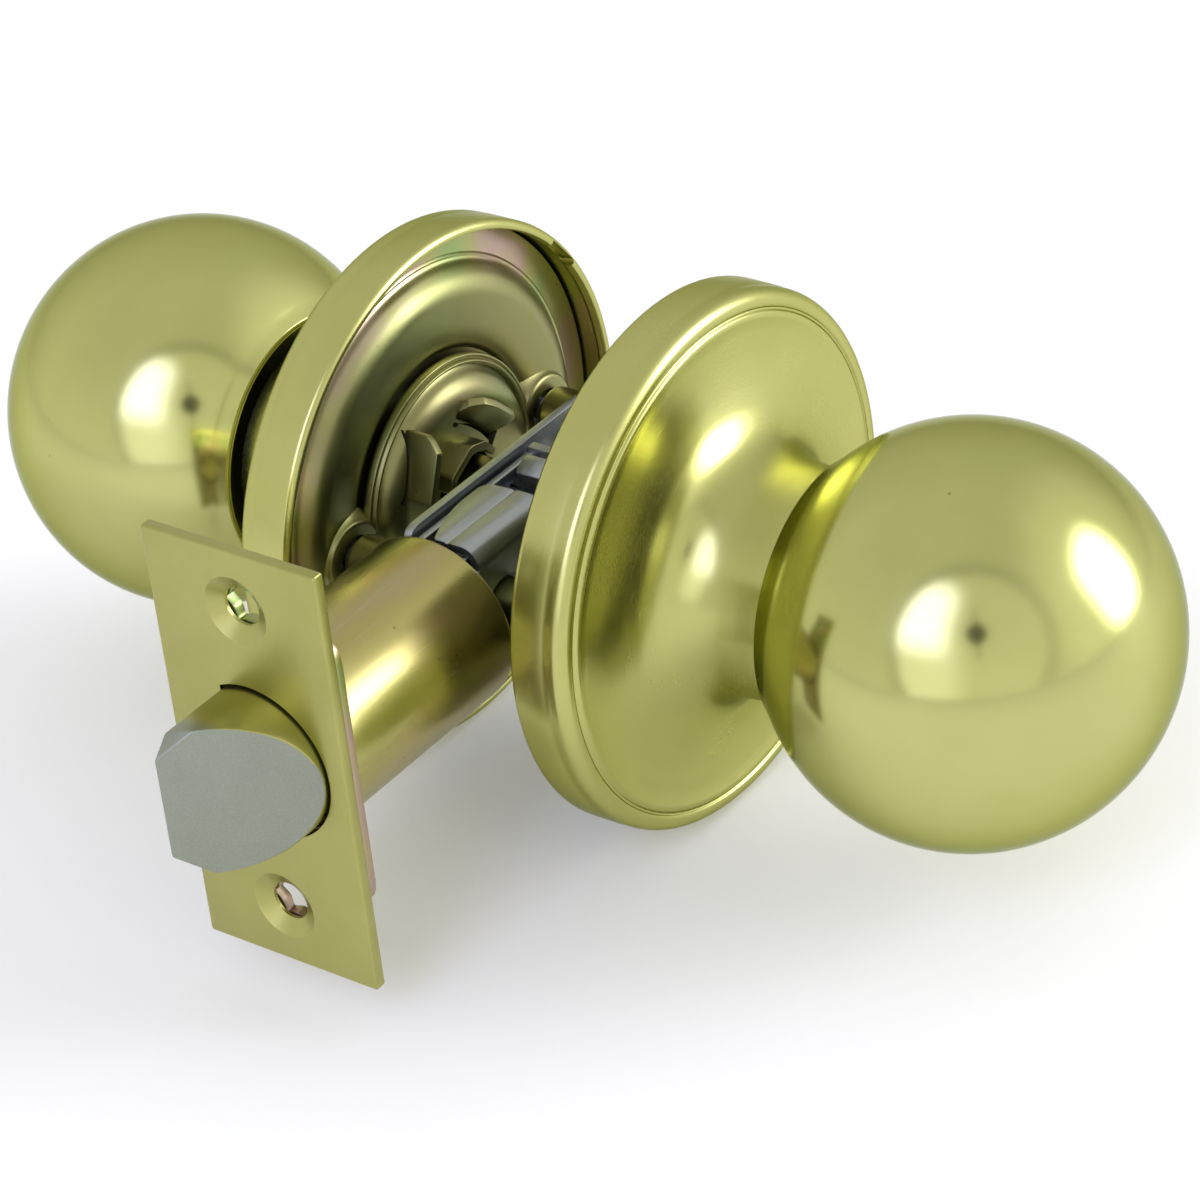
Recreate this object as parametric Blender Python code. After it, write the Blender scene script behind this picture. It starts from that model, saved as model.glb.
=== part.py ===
"""Passage door knob: two ball knobs on round roses, a square spindle and a tubular spring latch.

Frame: the spindle runs along Y, the latch along X, +Z is up.  The outside knob is at -Y, the inside
knob at +Y and the faceplate at -X.  The origin is where the spindle axis crosses the latch axis, at
the middle of the door's thickness.  All dimensions below are in millimetres.
"""
import math

import bmesh
import bpy
from mathutils import Matrix

MM = 0.001
GAP = 0.3                       # left between pieces that touch

# Knobs, measured outwards along the spindle from the middle of the door
KNOB_CENTRE = 58.8
KNOB_RADIUS = 25.8              # across the spindle
KNOB_HALF_DEPTH = 25.2          # along the spindle
KNOB_WALL = 0.9
MOUTH_RADIUS = 17.0

# Roses
DOOR_FACE = 16.6                # the rose's lip, half of the door's thickness
ROSE_RADIUS = 34.0
ROSE_WALL = 0.9
LIP_RADIUS = 31.8
LIP_ROUND = 1.1
FRONT_ROUND = 1.6
SKIRT_END = 22.8
NECK_RADIUS = 14.6
NECK_END = 40.0
PRY_SLOT_ANGLE = 38.0

# Chassis behind each rose
PLATE_RADIUS = 32.3
PLATE_RIM = 21.9
PLATE_CREST = 17.9
PLATE_RECESS = 19.4
PLATE_WALL = 1.0
CAP_RADIUS = 15.9
CAP_FLANGE = 17.8
CAP_FACE = 14.6
CAP_HOLE = 6.2
CAP_TAB_RADIUS = 10.8
CAP_TAB_ANGLES = (137.0, 61.0, 317.0, 241.0)
SHANK_RADIUS = 9.0
SHANK_BORE = 7.6
SHANK_START = 17.4
SHANK_END = 46.0
POST_X = 20.0
POST_RADIUS = 3.6
COLLAR_FACE = 17.2

# Spindle
SPINDLE_SIDE = 6.8
SPINDLE_WALL = 0.9
SPINDLE_REACH = 30.0
SQUARE_HOLE = 7.4

# Latch
BACKSET = 60.0                  # spindle axis to the faceplate's front
FACE_WIDTH = 25.4
FACE_HEIGHT = 57.15
FACE_THICKNESS = 1.6
SCREW_Z = 20.6
BACKING_FRONT = -(BACKSET - FACE_THICKNESS) + GAP
BACKING_THICKNESS = 1.4
TUBE_RADIUS = 11.3
TUBE_BORE = 10.3
TUBE_FRONT = BACKING_FRONT + BACKING_THICKNESS + GAP
TUBE_END = -26.0
BOLT_RADIUS = 9.9
BOLT_FLAT = 4.0
BOLT_THROW = 12.7
BOLT_TIP = -(BACKSET + BOLT_THROW)
BOLT_REAR = -54.2
CASE_INSIDE = 4.8
CASE_WALL = 1.1
CASE_HALF_HEIGHT = 9.6
CASE_END = 14.0
RAIL_OUTSIDE = 4.2
RAIL_INSIDE = 3.2
RAIL_LOW = 6.8
RAIL_HIGH = 8.6
LIP_X = -0.9
LIP_THICKNESS = 1.2
SEAT_X = -28.6
HUB_RADIUS = 6.4
HUB_ARM_REACH = 10.4
HUB_ARM_ANGLE = 24.0
HUB_ARM_WIDTH = 3.2

ROUND_STEPS = 28
SMALL_STEPS = 12
COLLAR_STEPS = 15
COLLAR_HOLE_STEPS = 11            # unlike the collar's and the plate's, so no two edges coincide

BRASS = ((0.72, 0.66, 0.30, 1.0), 1.0, 0.25)
SATIN_BRASS = ((0.70, 0.64, 0.30, 1.0), 1.0, 0.38)
CHROMATE = ((0.52, 0.48, 0.24, 1.0), 1.0, 0.35)
ZINC = ((0.62, 0.64, 0.63, 1.0), 1.0, 0.35)
SPRING_STEEL = ((0.36, 0.37, 0.38, 1.0), 1.0, 0.32)
NYLON = ((0.82, 0.80, 0.72, 1.0), 0.0, 0.55)

AXES = {"X": (1, 0, 0), "Y": (0, 1, 0), "Z": (0, 0, 1)}


# ---------------------------------------------------------------- shapes

def arc(centre, radius, start, end, steps):
    """Points on a circle from start to end, in degrees."""
    points = []
    for i in range(steps + 1):
        angle = math.radians(start + (end - start) * i / steps)
        points.append((centre[0] + radius * math.cos(angle), centre[1] + radius * math.sin(angle)))
    return points


def box_outline(low, high):
    """The four corners of a rectangle."""
    return [(low[0], low[1]), (high[0], low[1]), (high[0], high[1]), (low[0], high[1])]


def rounded_outline(half_width, half_height, radius, steps=4):
    """A rectangle about the origin with round corners."""
    x = half_width - radius
    z = half_height - radius
    corners = (((x, z), 0), ((-x, z), 90), ((-x, -z), 180), ((x, -z), 270))
    points = []
    for centre, start in corners:
        points += arc(centre, radius, start, start + 90, steps)
    return points


def offset_line(line, distance):
    """The line moved sideways by distance, to the right of its direction."""
    moved = []
    for i, (a, r) in enumerate(line):
        before = line[max(i - 1, 0)]
        after = line[min(i + 1, len(line) - 1)]
        along = (after[0] - before[0], after[1] - before[1])
        length = math.hypot(*along)
        moved.append((a + distance * along[1] / length, max(r - distance * along[0] / length, 0.0)))
    return moved


def wall_section(line, thickness):
    """A sheet of even thickness whose outer face is line, as a closed outline."""
    return line + offset_line(line, thickness)[::-1]


def add_object(name, mesh, finish):
    """An object with a material of its own, shaded smooth except at sharp edges."""
    colour, metallic, roughness = finish
    material = bpy.data.materials.new(name + "_finish")
    material.use_nodes = True
    shader = material.node_tree.nodes["Principled BSDF"]
    shader.inputs["Base Color"].default_value = colour
    shader.inputs["Metallic"].default_value = metallic
    shader.inputs["Roughness"].default_value = roughness
    mesh.materials.append(material)
    piece = bpy.data.objects.new(name, mesh)
    bpy.context.scene.collection.objects.link(piece)
    return piece


def finished_mesh(name, bm):
    """Closes a bmesh into a mesh with outward faces."""
    bmesh.ops.recalc_face_normals(bm, faces=bm.faces[:])
    mesh = bpy.data.meshes.new(name)
    bm.to_mesh(mesh)
    bm.free()
    mesh.shade_smooth()
    mesh.set_sharp_from_angle(angle=math.radians(35))
    return mesh


def turned(name, line, finish, axis="Y", closed=True, steps=ROUND_STEPS, centre=(0, 0, 0)):
    """A solid of revolution; line holds (distance along the axis, radius)."""
    bm = bmesh.new()
    verts = []
    for along, radius in line:
        place = (along * MM, 0, radius * MM) if axis == "X" else (0, along * MM, radius * MM)
        verts.append(bm.verts.new(place))
    for first, second in zip(verts, verts[1:]):
        bm.edges.new((first, second))
    if closed:
        bm.edges.new((verts[-1], verts[0]))
    bmesh.ops.spin(bm, geom=bm.verts[:] + bm.edges[:], cent=(0, 0, 0), axis=AXES[axis],
                   angle=2 * math.pi, steps=steps, use_merge=True)
    bmesh.ops.remove_doubles(bm, verts=bm.verts[:], dist=1e-7)
    piece = add_object(name, finished_mesh(name, bm), finish)
    piece.location = [value * MM for value in centre]
    return piece


def prism(name, outline, axis, low, high, finish):
    """An outline extruded along axis; it holds the two other coordinates in X, Y, Z order."""
    place = {"X": lambda u, v, w: (w, u, v), "Y": lambda u, v, w: (u, w, v), "Z": lambda u, v, w: (u, v, w)}
    bm = bmesh.new()
    verts = [bm.verts.new([value * MM for value in place[axis](u, v, low)]) for u, v in outline]
    face = bm.faces.new(verts)
    grown = bmesh.ops.extrude_face_region(bm, geom=[face])
    moved = [item for item in grown["geom"] if isinstance(item, bmesh.types.BMVert)]
    shift = [value * (high - low) * MM for value in AXES[axis]]
    bmesh.ops.translate(bm, verts=moved, vec=shift)
    return add_object(name, finished_mesh(name, bm), finish)


def combine(piece, tool, operation):
    """Cuts tool from piece, or joins it on, and hides it as a guide."""
    modifier = piece.modifiers.new(operation.lower(), "BOOLEAN")
    modifier.operation = operation
    modifier.solver = "EXACT"
    modifier.object = tool
    tool.hide_render = True
    tool.hide_set(True)
    tool.display_type = "WIRE"


def coil(name, radius, wire, start, end, turns, axis, finish, points_per_turn=16, sides=1):
    """A coil spring wound about X or Y from start to end, with its wire as a bevelled curve."""
    count = int(turns * points_per_turn)
    curve = bpy.data.curves.new(name, "CURVE")
    curve.dimensions = "3D"
    curve.bevel_depth = wire * MM
    curve.bevel_resolution = sides
    curve.use_fill_caps = True
    spline = curve.splines.new("POLY")
    spline.points.add(count)
    for i in range(count + 1):
        angle = 2 * math.pi * i / points_per_turn
        along = start + (end - start) * i / count
        across = (radius * math.cos(angle), radius * math.sin(angle))
        place = (along, *across) if axis == "X" else (across[0], along, across[1])
        spline.points[i].co = [value * MM for value in place] + [1.0]
    return add_object(name, curve, finish)


# ---------------------------------------------------------------- knobs and roses

def knob_ball(name, side):
    """The hollow ball, open at a mouth that faces the rose."""
    mouth = math.degrees(math.asin(MOUTH_RADIUS / KNOB_RADIUS))
    unit = arc((0, 0), 1.0, 180 - mouth, 0, 13)
    line = [(side * (KNOB_CENTRE + KNOB_HALF_DEPTH * c), KNOB_RADIUS * s) for c, s in unit]
    line[-1] = (line[-1][0], 0.0)
    inner = [(side * (KNOB_CENTRE + (KNOB_HALF_DEPTH - KNOB_WALL) * c), (KNOB_RADIUS - KNOB_WALL) * s)
             for c, s in unit]
    inner[-1] = (inner[-1][0], 0.0)
    return turned(name, inner[::-1] + line, BRASS, closed=False)


def knob_insert(name, side):
    """The steel disc that holds the ball on its shank, with a collar."""
    front, back, collar_end = 41.6, 43.0, 45.6
    section = [(front, SHANK_RADIUS + GAP), (front, 17.0), (back, 17.0), (back, 11.2),
               (collar_end, 11.2), (collar_end, SHANK_RADIUS + GAP)]
    return turned(name, [(side * a, r) for a, r in section], CHROMATE, steps=24)


def knob_shank(name, side):
    """The tube that carries the knob, with a flange that stops it behind the hub cap."""
    flange_radius, flange_thickness = 10.8, 1.0
    section = [(SHANK_START, SHANK_BORE), (SHANK_START, flange_radius),
               (SHANK_START + flange_thickness, flange_radius),
               (SHANK_START + flange_thickness, SHANK_RADIUS), (SHANK_END, SHANK_RADIUS),
               (SHANK_END, SHANK_BORE)]
    return turned(name, [(side * a, r) for a, r in section], CHROMATE, steps=24)


def spindle_driver(name, side):
    """The disc inside the shank whose square hole takes the spindle."""
    front, back = 21.0, 23.4
    section = [(side * front, 0), (side * front, SHANK_BORE - GAP), (side * back, SHANK_BORE - GAP),
               (side * back, 0)]
    disc = turned(name, section, ZINC, closed=False, steps=24)
    combine(disc, square_cutter(name + "_hole"), "DIFFERENCE")
    return disc


def square_cutter(name):
    """The square hole that the spindle goes through."""
    half = SQUARE_HOLE / 2
    return prism(name, box_outline((-half, -half), (half, half)), "Y", -35, 35, ZINC)


def retaining_ring(name, side):
    """The open ring that stops the shank from pulling out of the mounting plate."""
    inner, outer = SHANK_RADIUS + GAP, 12.2
    front, back = 20.8, 21.8
    opening = 25
    outline = arc((0, 0), outer, opening, 360 - opening, 22)
    outline += arc((0, 0), inner, 360 - opening, opening, 22)
    low, high = sorted((side * front, side * back))
    return prism(name, outline, "Y", low, high, SPRING_STEEL)


def rose_cover(name, side):
    """The round cover: lip on the door, skirt, beaded front edge, dish and neck."""
    line = [(DOOR_FACE, LIP_RADIUS)]
    line += arc((DOOR_FACE + LIP_ROUND, ROSE_RADIUS - LIP_ROUND), LIP_ROUND, 180, 90, 1)
    line += arc((SKIRT_END, ROSE_RADIUS - FRONT_ROUND), FRONT_ROUND, 90, 0, 3)
    line += [(24.1, 31.7), (24.4, 30.6), (24.2, 27.0), (24.6, 22.5)]
    line += [(25.6, 19.4), (27.6, 16.6), (30.6, 15.0)]
    line += [(35.0, NECK_RADIUS), (NECK_END, NECK_RADIUS)]
    section = wall_section(line, ROSE_WALL)
    return turned(name, [(side * a, r) for a, r in section], BRASS)


def pry_slot(rose, side):
    """The notch in the inside rose's lip where a blade lifts the cover off."""
    radius_in, radius_out, half_width, depth = 30.0, 36.0, 3.0, 1.9
    low, high = sorted((side * (DOOR_FACE - 1), side * (DOOR_FACE + depth)))
    cutter = prism("pry_slot_cutter", box_outline((radius_in, -half_width), (radius_out, half_width)),
                   "Y", low, high, BRASS)
    cutter.rotation_euler = (0, -math.radians(PRY_SLOT_ANGLE), 0)
    combine(rose, cutter, "DIFFERENCE")


def rose_bushing(name, side):
    """The plain bearing in the rose's neck that the shank turns in."""
    front, back = 34.0, 38.6
    inner, outer = SHANK_RADIUS + GAP, NECK_RADIUS - ROSE_WALL - GAP
    section = [(front, inner), (front, outer), (back, outer), (back, inner)]
    return turned(name, [(side * a, r) for a, r in section], NYLON, steps=24)


def mounting_plate(name, side):
    """The dished plate behind the rose, with a raised collar round each screw hole."""
    line = [(PLATE_RECESS, 9.5), (PLATE_RECESS, 16.2), (PLATE_CREST, 18.4), (PLATE_CREST, 22.0),
            (PLATE_CREST + 1.4, 26.2),
            (PLATE_RIM - 0.6, 28.4), (PLATE_RIM, 28.7), (PLATE_RIM, PLATE_RADIUS)]
    section = wall_section(line, -PLATE_WALL)
    plate = turned(name, [(side * a, r) for a, r in section], CHROMATE)
    for x, end in ((-POST_X, "front"), (POST_X, "rear")):
        ring = [(COLLAR_FACE, 0), (COLLAR_FACE, 3.7), (PLATE_CREST + 0.55, 4.0), (PLATE_CREST + 0.55, 0)]
        collar = turned(name + "_" + end + "_collar", [(side * a, r) for a, r in ring], CHROMATE,
                        closed=False, steps=COLLAR_STEPS, centre=(x, 0, 0))
        combine(plate, collar, "UNION")
        hole = [(15, 0), (15, 2.4), (24, 2.4), (24, 0)]
        cutter = turned(name + "_" + end + "_hole", [(side * a, r) for a, r in hole], CHROMATE,
                        closed=False, steps=COLLAR_HOLE_STEPS, centre=(x, 0, 0))
        combine(plate, cutter, "DIFFERENCE")
    return plate


def hub_cap(name, side):
    """The domed cap over the shank's end, with four lanced tabs about the spindle."""
    line = [(CAP_FACE, CAP_HOLE), (CAP_FACE, 9.4), (CAP_FACE + 0.6, 11.8), (CAP_FACE + 1.9, 13.6),
            (CAP_FLANGE, 14.6), (CAP_FLANGE, CAP_RADIUS)]
    section = wall_section(line, -PLATE_WALL)
    cap = turned(name, [(side * a, r) for a, r in section], CHROMATE)
    low, high = sorted((side * (CAP_FACE - 3.0), side * (CAP_FACE + 0.8)))
    for number, angle in enumerate(CAP_TAB_ANGLES):
        tab = prism(name + "_tab_%d" % number, box_outline((CAP_TAB_RADIUS - 1.6, -3.2), (CAP_TAB_RADIUS - 0.6, 3.2)),
                    "Y", low, high, CHROMATE)
        tab.rotation_euler = (0, -math.radians(angle), 0)
        combine(cap, tab, "UNION")
    return cap


def return_spring(name, side):
    """The coil round the shank that brings the knob back."""
    start, end, radius, wire, turns = 23.6, 28.0, 10.9, 0.6, 3
    return coil(name, radius, wire, side * start, side * end, turns, "Y", SPRING_STEEL,
                points_per_turn=14, sides=0)


def knob_catch(name):
    """The leaf inside the inside knob's shank that the knob snaps over."""
    return prism(name, box_outline((-1.5, 5.4), (1.5, 6.4)), "Y", 32, 45, SPRING_STEEL)


def spindle(name):
    """The hollow square spindle that joins both knobs through the latch."""
    outer = SPINDLE_SIDE / 2
    inner = outer - SPINDLE_WALL
    bar = prism(name, box_outline((-outer, -outer), (outer, outer)), "Y", -SPINDLE_REACH, SPINDLE_REACH,
                CHROMATE)
    core = prism(name + "_core", box_outline((-inner, -inner), (inner, inner)), "Y", -35, 35, CHROMATE)
    combine(bar, core, "DIFFERENCE")
    return bar


def screw_post(name, x):
    """A threaded post riveted to the outside plate; its open end faces the inside plate."""
    shoulder = COLLAR_FACE - GAP
    tenon, rivet, bore, bore_depth, chamfer = 1.9, 3.2, 1.95, 14.0, 0.7
    rivet_front = PLATE_CREST + PLATE_WALL + GAP
    line = [(-rivet_front - 1.2, 0), (-rivet_front - 1.2, rivet), (-rivet_front, rivet),
            (-rivet_front, tenon), (-shoulder, tenon), (-shoulder, POST_RADIUS),
            (shoulder - chamfer, POST_RADIUS), (shoulder, POST_RADIUS - chamfer), (shoulder, bore),
            (shoulder - bore_depth, bore), (shoulder - bore_depth, 0)]
    return turned(name, line, CHROMATE, closed=False, steps=SMALL_STEPS, centre=(x, 0, 0))


def mounting_screw(name, x):
    """A machine screw through the inside plate into a post, with a crossed drive recess."""
    head_front = PLATE_CREST + PLATE_WALL + GAP
    head, shaft, length = 3.5, 1.6, 14.0
    line = [(head_front - length, 0), (head_front - length, shaft), (head_front, shaft),
            (head_front, head), (head_front + 1.0, head), (head_front + 2.2, head * 0.6),
            (head_front + 2.4, 0)]
    screw = turned(name, line, ZINC, closed=False, steps=SMALL_STEPS, centre=(x, 0, 0))
    for angle in (0, 90):
        slot = prism(name + "_slot_%d" % angle, box_outline((-1.9, -0.45), (1.9, 0.45)), "Y",
                     head_front + 1.0, head_front + 3.0, ZINC)
        slot.matrix_world = Matrix.Translation((x * MM, 0, 0)) @ Matrix.Rotation(math.radians(angle), 4, "Y")
        combine(screw, slot, "DIFFERENCE")
    return screw


# ---------------------------------------------------------------- latch

def bolt_outline(radius, flat):
    """A circle cut flat on its inside-knob side, as (y, z)."""
    half = math.degrees(math.acos(flat / radius))
    return arc((0, 0), radius, half, 360 - half, 22)


def faceplate(name):
    """The plate on the door's edge, with its bolt opening and two countersunk holes."""
    front = -BACKSET
    back = front + FACE_THICKNESS
    outline = box_outline((-FACE_WIDTH / 2, -FACE_HEIGHT / 2), (FACE_WIDTH / 2, FACE_HEIGHT / 2))
    plate = prism(name, outline, "X", front, back, SATIN_BRASS)
    opening = prism(name + "_opening", bolt_outline(BOLT_RADIUS + 0.4, BOLT_FLAT + 0.4), "X",
                    front - 1, back + 1, SATIN_BRASS)
    combine(plate, opening, "DIFFERENCE")
    for z in (-SCREW_Z, SCREW_Z):
        cone = [(front - 1, 0), (front - 1, 5.4), (front, 4.4), (front + 1.2, 2.4), (back + 1, 2.4),
                (back + 1, 0)]
        cutter = turned(name + "_countersink", cone, SATIN_BRASS, axis="X", closed=False,
                        steps=SMALL_STEPS, centre=(0, 0, z))
        combine(plate, cutter, "DIFFERENCE")
    return plate


def backing_plate(name):
    """The stepped plate behind the faceplate that the tube is fixed to."""
    front = BACKING_FRONT
    back = front + BACKING_THICKNESS
    plate = prism(name, rounded_outline(12.0, 18.5, 3.0), "X", front, back, CHROMATE)
    ears = prism(name + "_ears", rounded_outline(6.5, 25.6, 3.0), "X", front, back, CHROMATE)
    combine(plate, ears, "UNION")
    opening = prism(name + "_opening", arc((0, 0), BOLT_RADIUS + 0.4, 0, 345, 23), "X", front - 1,
                    back + 1, CHROMATE)
    combine(plate, opening, "DIFFERENCE")
    for z in (-SCREW_Z, SCREW_Z):
        hole = [(front - 1, 0), (front - 1, 2.6), (back + 1, 2.6), (back + 1, 0)]
        cutter = turned(name + "_hole", hole, CHROMATE, axis="X", closed=False, steps=SMALL_STEPS,
                        centre=(0, 0, z))
        combine(plate, cutter, "DIFFERENCE")
    return plate


def latch_tube(name):
    """The tube that goes into the door's edge and guides the bolt."""
    section = [(TUBE_FRONT, TUBE_BORE), (TUBE_FRONT, TUBE_RADIUS), (TUBE_END, TUBE_RADIUS),
               (TUBE_END, TUBE_BORE)]
    return turned(name, section, CHROMATE, axis="X", steps=32)


def case_outline():
    """A side plate as (x, z): a tongue inside the tube and a tall part behind it."""
    tall, tongue = CASE_HALF_HEIGHT, 7.2
    step, start, corner = -23.5, -40.0, 2.0
    upper = [(start, tongue), (step, tongue)]
    upper += arc((step + corner, tall - corner), corner, 180, 90, 3)
    upper += arc((CASE_END - 3, tall - 3), 3, 90, 0, 3)
    return upper + [(x, -z) for x, z in upper[::-1]]


def case_side(name, low, high):
    """A side plate of the latch case, with its hub hole and a hole for the front post."""
    plate = prism(name, case_outline(), "Y", low, high, ZINC)
    for x, radius, label in ((0, HUB_RADIUS + 0.4, "hub"), (-POST_X, POST_RADIUS + 0.5, "post")):
        hole = [(low - 1, 0), (low - 1, radius), (high + 1, radius), (high + 1, 0)]
        cutter = turned(name + "_" + label + "_hole", hole, ZINC, closed=False, steps=24,
                        centre=(x, 0, 0))
        combine(plate, cutter, "DIFFERENCE")
    return plate


def case_flanges(plate):
    """The flaps folded from the outside side plate over the retractor, above and below."""
    edge = -CASE_INSIDE - CASE_WALL + 0.1
    outline = [(-24.2, edge), (-10.9, edge), (-10.6, -1.5), (-10.9, 2.2), (-12.2, 3.1), (-15.0, 3.1),
               (-18.4, 2.6), (-21.6, 1.7), (-24.2, 0.6)]
    for low, high in ((9.0, 10.0), (-10.0, -9.0)):
        flap = prism("case_flap", outline, "Z", low, high, ZINC)
        combine(plate, flap, "UNION")


def case_spacer(name, z):
    """A round spacer that holds the two side plates apart."""
    half, x, radius = CASE_INSIDE - GAP, 12.1, 1.6
    line = [(-half, 0), (-half, radius), (half, radius), (half, 0)]
    return turned(name, line, ZINC, closed=False, steps=12, centre=(x, 0, z))


def spring_seat(name):
    """The plate across the case that the latch spring pushes against."""
    half_width, half_height, thickness, hole = CASE_INSIDE - GAP, 6.4, 1.2, 2.0
    seat = prism(name, box_outline((-half_width, -half_height), (half_width, half_height)), "X",
                 SEAT_X, SEAT_X + thickness, ZINC)
    line = [(SEAT_X - 1, 0), (SEAT_X - 1, hole), (SEAT_X + 3, hole), (SEAT_X + 3, 0)]
    cutter = turned(name + "_hole", line, ZINC, axis="X", closed=False, steps=12)
    combine(seat, cutter, "DIFFERENCE")
    return seat


def latch_bolt(name):
    """The spring bolt: a flattened round bar with a bevel that faces the outside knob."""
    bolt = prism(name, bolt_outline(BOLT_RADIUS, BOLT_FLAT), "X", BOLT_TIP, BOLT_REAR, SATIN_BRASS)
    bevel_end = -BACKSET - 0.5
    low = -BOLT_RADIUS
    slope = (bevel_end - BOLT_TIP) / (BOLT_FLAT - low)
    wedge = [(BOLT_TIP - 3, BOLT_FLAT + 1), (BOLT_TIP - slope, BOLT_FLAT + 1),
             (bevel_end + slope, low - 1), (BOLT_TIP - 3, low - 1)]
    combine(bolt, prism(name + "_bevel", wedge, "Z", -12, 12, SATIN_BRASS), "DIFFERENCE")
    for sign in (-1, 1):
        corner = [(BOLT_TIP - 1, sign * 6.6), (BOLT_TIP - 1, sign * 11), (BOLT_TIP + 3.4, sign * 11),
                  (BOLT_TIP + 3.4, sign * 9.6)]
        cutter = prism(name + "_corner", corner, "Y", -12, 12, SATIN_BRASS)
        combine(bolt, cutter, "DIFFERENCE")
    return bolt


def retractor(name):
    """The frame behind the bolt: a base, four rails past the hub and a lip for each hub arm."""
    start = BOLT_REAR + GAP
    base_end = start + 1.2
    end = LIP_X + LIP_THICKNESS
    frame = prism(name, box_outline((-RAIL_OUTSIDE, -RAIL_HIGH), (RAIL_OUTSIDE, RAIL_HIGH)), "X", start,
                  base_end, ZINC)
    for up in (-1, 1):
        for across in (-1, 1):
            y = sorted((across * RAIL_INSIDE, across * RAIL_OUTSIDE))
            z = sorted((up * RAIL_LOW, up * RAIL_HIGH))
            rail = prism(name + "_rail", box_outline((y[0], z[0]), (y[1], z[1])), "X", start + 0.1, end, ZINC)
            combine(frame, rail, "UNION")
        z = sorted((up * RAIL_LOW, up * (RAIL_HIGH + 0.8)))
        lip = prism(name + "_lip", box_outline((-RAIL_OUTSIDE, z[0]), (RAIL_OUTSIDE, z[1])), "X", LIP_X,
                    end + 0.1, ZINC)
        combine(frame, lip, "UNION")
    return frame


def spring_guide(name):
    """The pin inside the latch spring."""
    start, end, radius = BOLT_REAR + 2.0, -37.0, 1.5
    line = [(start, 0), (start, radius), (end - 0.6, radius), (end, radius - 0.6), (end, 0)]
    return turned(name, line, ZINC, axis="X", closed=False, steps=12)


def latch_spring(name):
    """The compression spring that pushes the bolt out."""
    radius, wire, turns = 3.3, 0.45, 8
    start = BOLT_REAR + GAP + 1.2 + wire + GAP
    end = SEAT_X - wire - GAP
    return coil(name, radius, wire, start, end, turns, "X", SPRING_STEEL, points_per_turn=10, sides=0)


def latch_hub(name):
    """The square-holed hub in the latch, with one arm for each direction of turning."""
    reach = 7.5
    line = [(-reach, 0), (-reach, HUB_RADIUS), (reach, HUB_RADIUS), (reach, 0)]
    hub = turned(name, line, ZINC, closed=False, steps=24)
    half = HUB_ARM_WIDTH / 2
    for label, angle in (("upper", 90 + HUB_ARM_ANGLE), ("lower", 270 - HUB_ARM_ANGLE)):
        arm = prism(name + "_" + label, box_outline((3.0, -half), (HUB_ARM_REACH, half)), "Y", -2.5, 2.5,
                    ZINC)
        arm.rotation_euler = (0, -math.radians(angle), 0)
        combine(hub, arm, "UNION")
    combine(hub, square_cutter(name + "_hole"), "DIFFERENCE")
    return hub


# ---------------------------------------------------------------- assembly

def body(name, pieces):
    """Parents pieces to an empty at the origin, which lies on every joint axis."""
    axis = bpy.data.objects.new(name, None)
    bpy.context.scene.collection.objects.link(axis)
    for piece in pieces:
        piece.parent = axis


def turning_pieces(prefix, side):
    """What turns with one knob."""
    return [knob_ball(prefix + "_knob_ball", side), knob_insert(prefix + "_knob_insert", side),
            knob_shank(prefix + "_knob_shank", side), spindle_driver(prefix + "_spindle_driver", side),
            retaining_ring(prefix + "_retaining_ring", side)]


def fixed_pieces(prefix, side):
    """What stays on the door on one side."""
    return [rose_cover(prefix + "_rose_cover", side), rose_bushing(prefix + "_rose_bushing", side),
            mounting_plate(prefix + "_mounting_plate", side), hub_cap(prefix + "_hub_cap", side),
            return_spring(prefix + "_return_spring", side)]


def latch_case():
    """The fixed pieces of the latch."""
    left = case_side("latch_case_inner_side", CASE_INSIDE, CASE_INSIDE + CASE_WALL)
    right = case_side("latch_case_outer_side", -CASE_INSIDE - CASE_WALL, -CASE_INSIDE)
    case_flanges(right)
    return [faceplate("latch_faceplate"), backing_plate("latch_backing_plate"), latch_tube("latch_tube"),
            left, right, case_spacer("latch_case_upper_spacer", 3.0),
            case_spacer("latch_case_lower_spacer", -3.0), spring_seat("latch_spring_seat"),
            latch_spring("latch_spring")]


def build():
    """Clears the scene and makes every piece."""
    for item in list(bpy.data.objects):
        bpy.data.objects.remove(item, do_unlink=True)
    outside, inside = -1, 1
    posts = [screw_post("front_screw_post", -POST_X), screw_post("rear_screw_post", POST_X)]
    screws = [mounting_screw("front_mounting_screw", -POST_X), mounting_screw("rear_mounting_screw", POST_X)]
    inside_fixed = fixed_pieces("inside", inside)
    pry_slot(inside_fixed[0], inside)
    body("door_hardware", fixed_pieces("outside", outside) + inside_fixed + posts + screws + latch_case())
    body("outside_knob", turning_pieces("outside", outside) + [spindle("spindle")])
    body("inside_knob", turning_pieces("inside", inside) + [knob_catch("knob_catch")])
    body("latch_cam", [latch_hub("latch_hub")])
    body("sliding_bolt", [latch_bolt("latch_bolt"), retractor("latch_retractor"),
                          spring_guide("latch_spring_guide")])


build()
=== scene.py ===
"""The looks of a passage knob set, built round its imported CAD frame.

Frame: the spindle runs along Y (outside knob at -Y, inside knob at +Y), the latch runs along X
(faceplate at -X) and +Z is up.  Shapes are given in millimetres; profiles of turned pieces hold
(distance from the middle of the door, radius).  What comes once for each side of the door is modelled
on the inside, at +Y, and mirrored.
"""
import math

import bmesh
import bpy
from mathutils import Matrix, Vector


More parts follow.
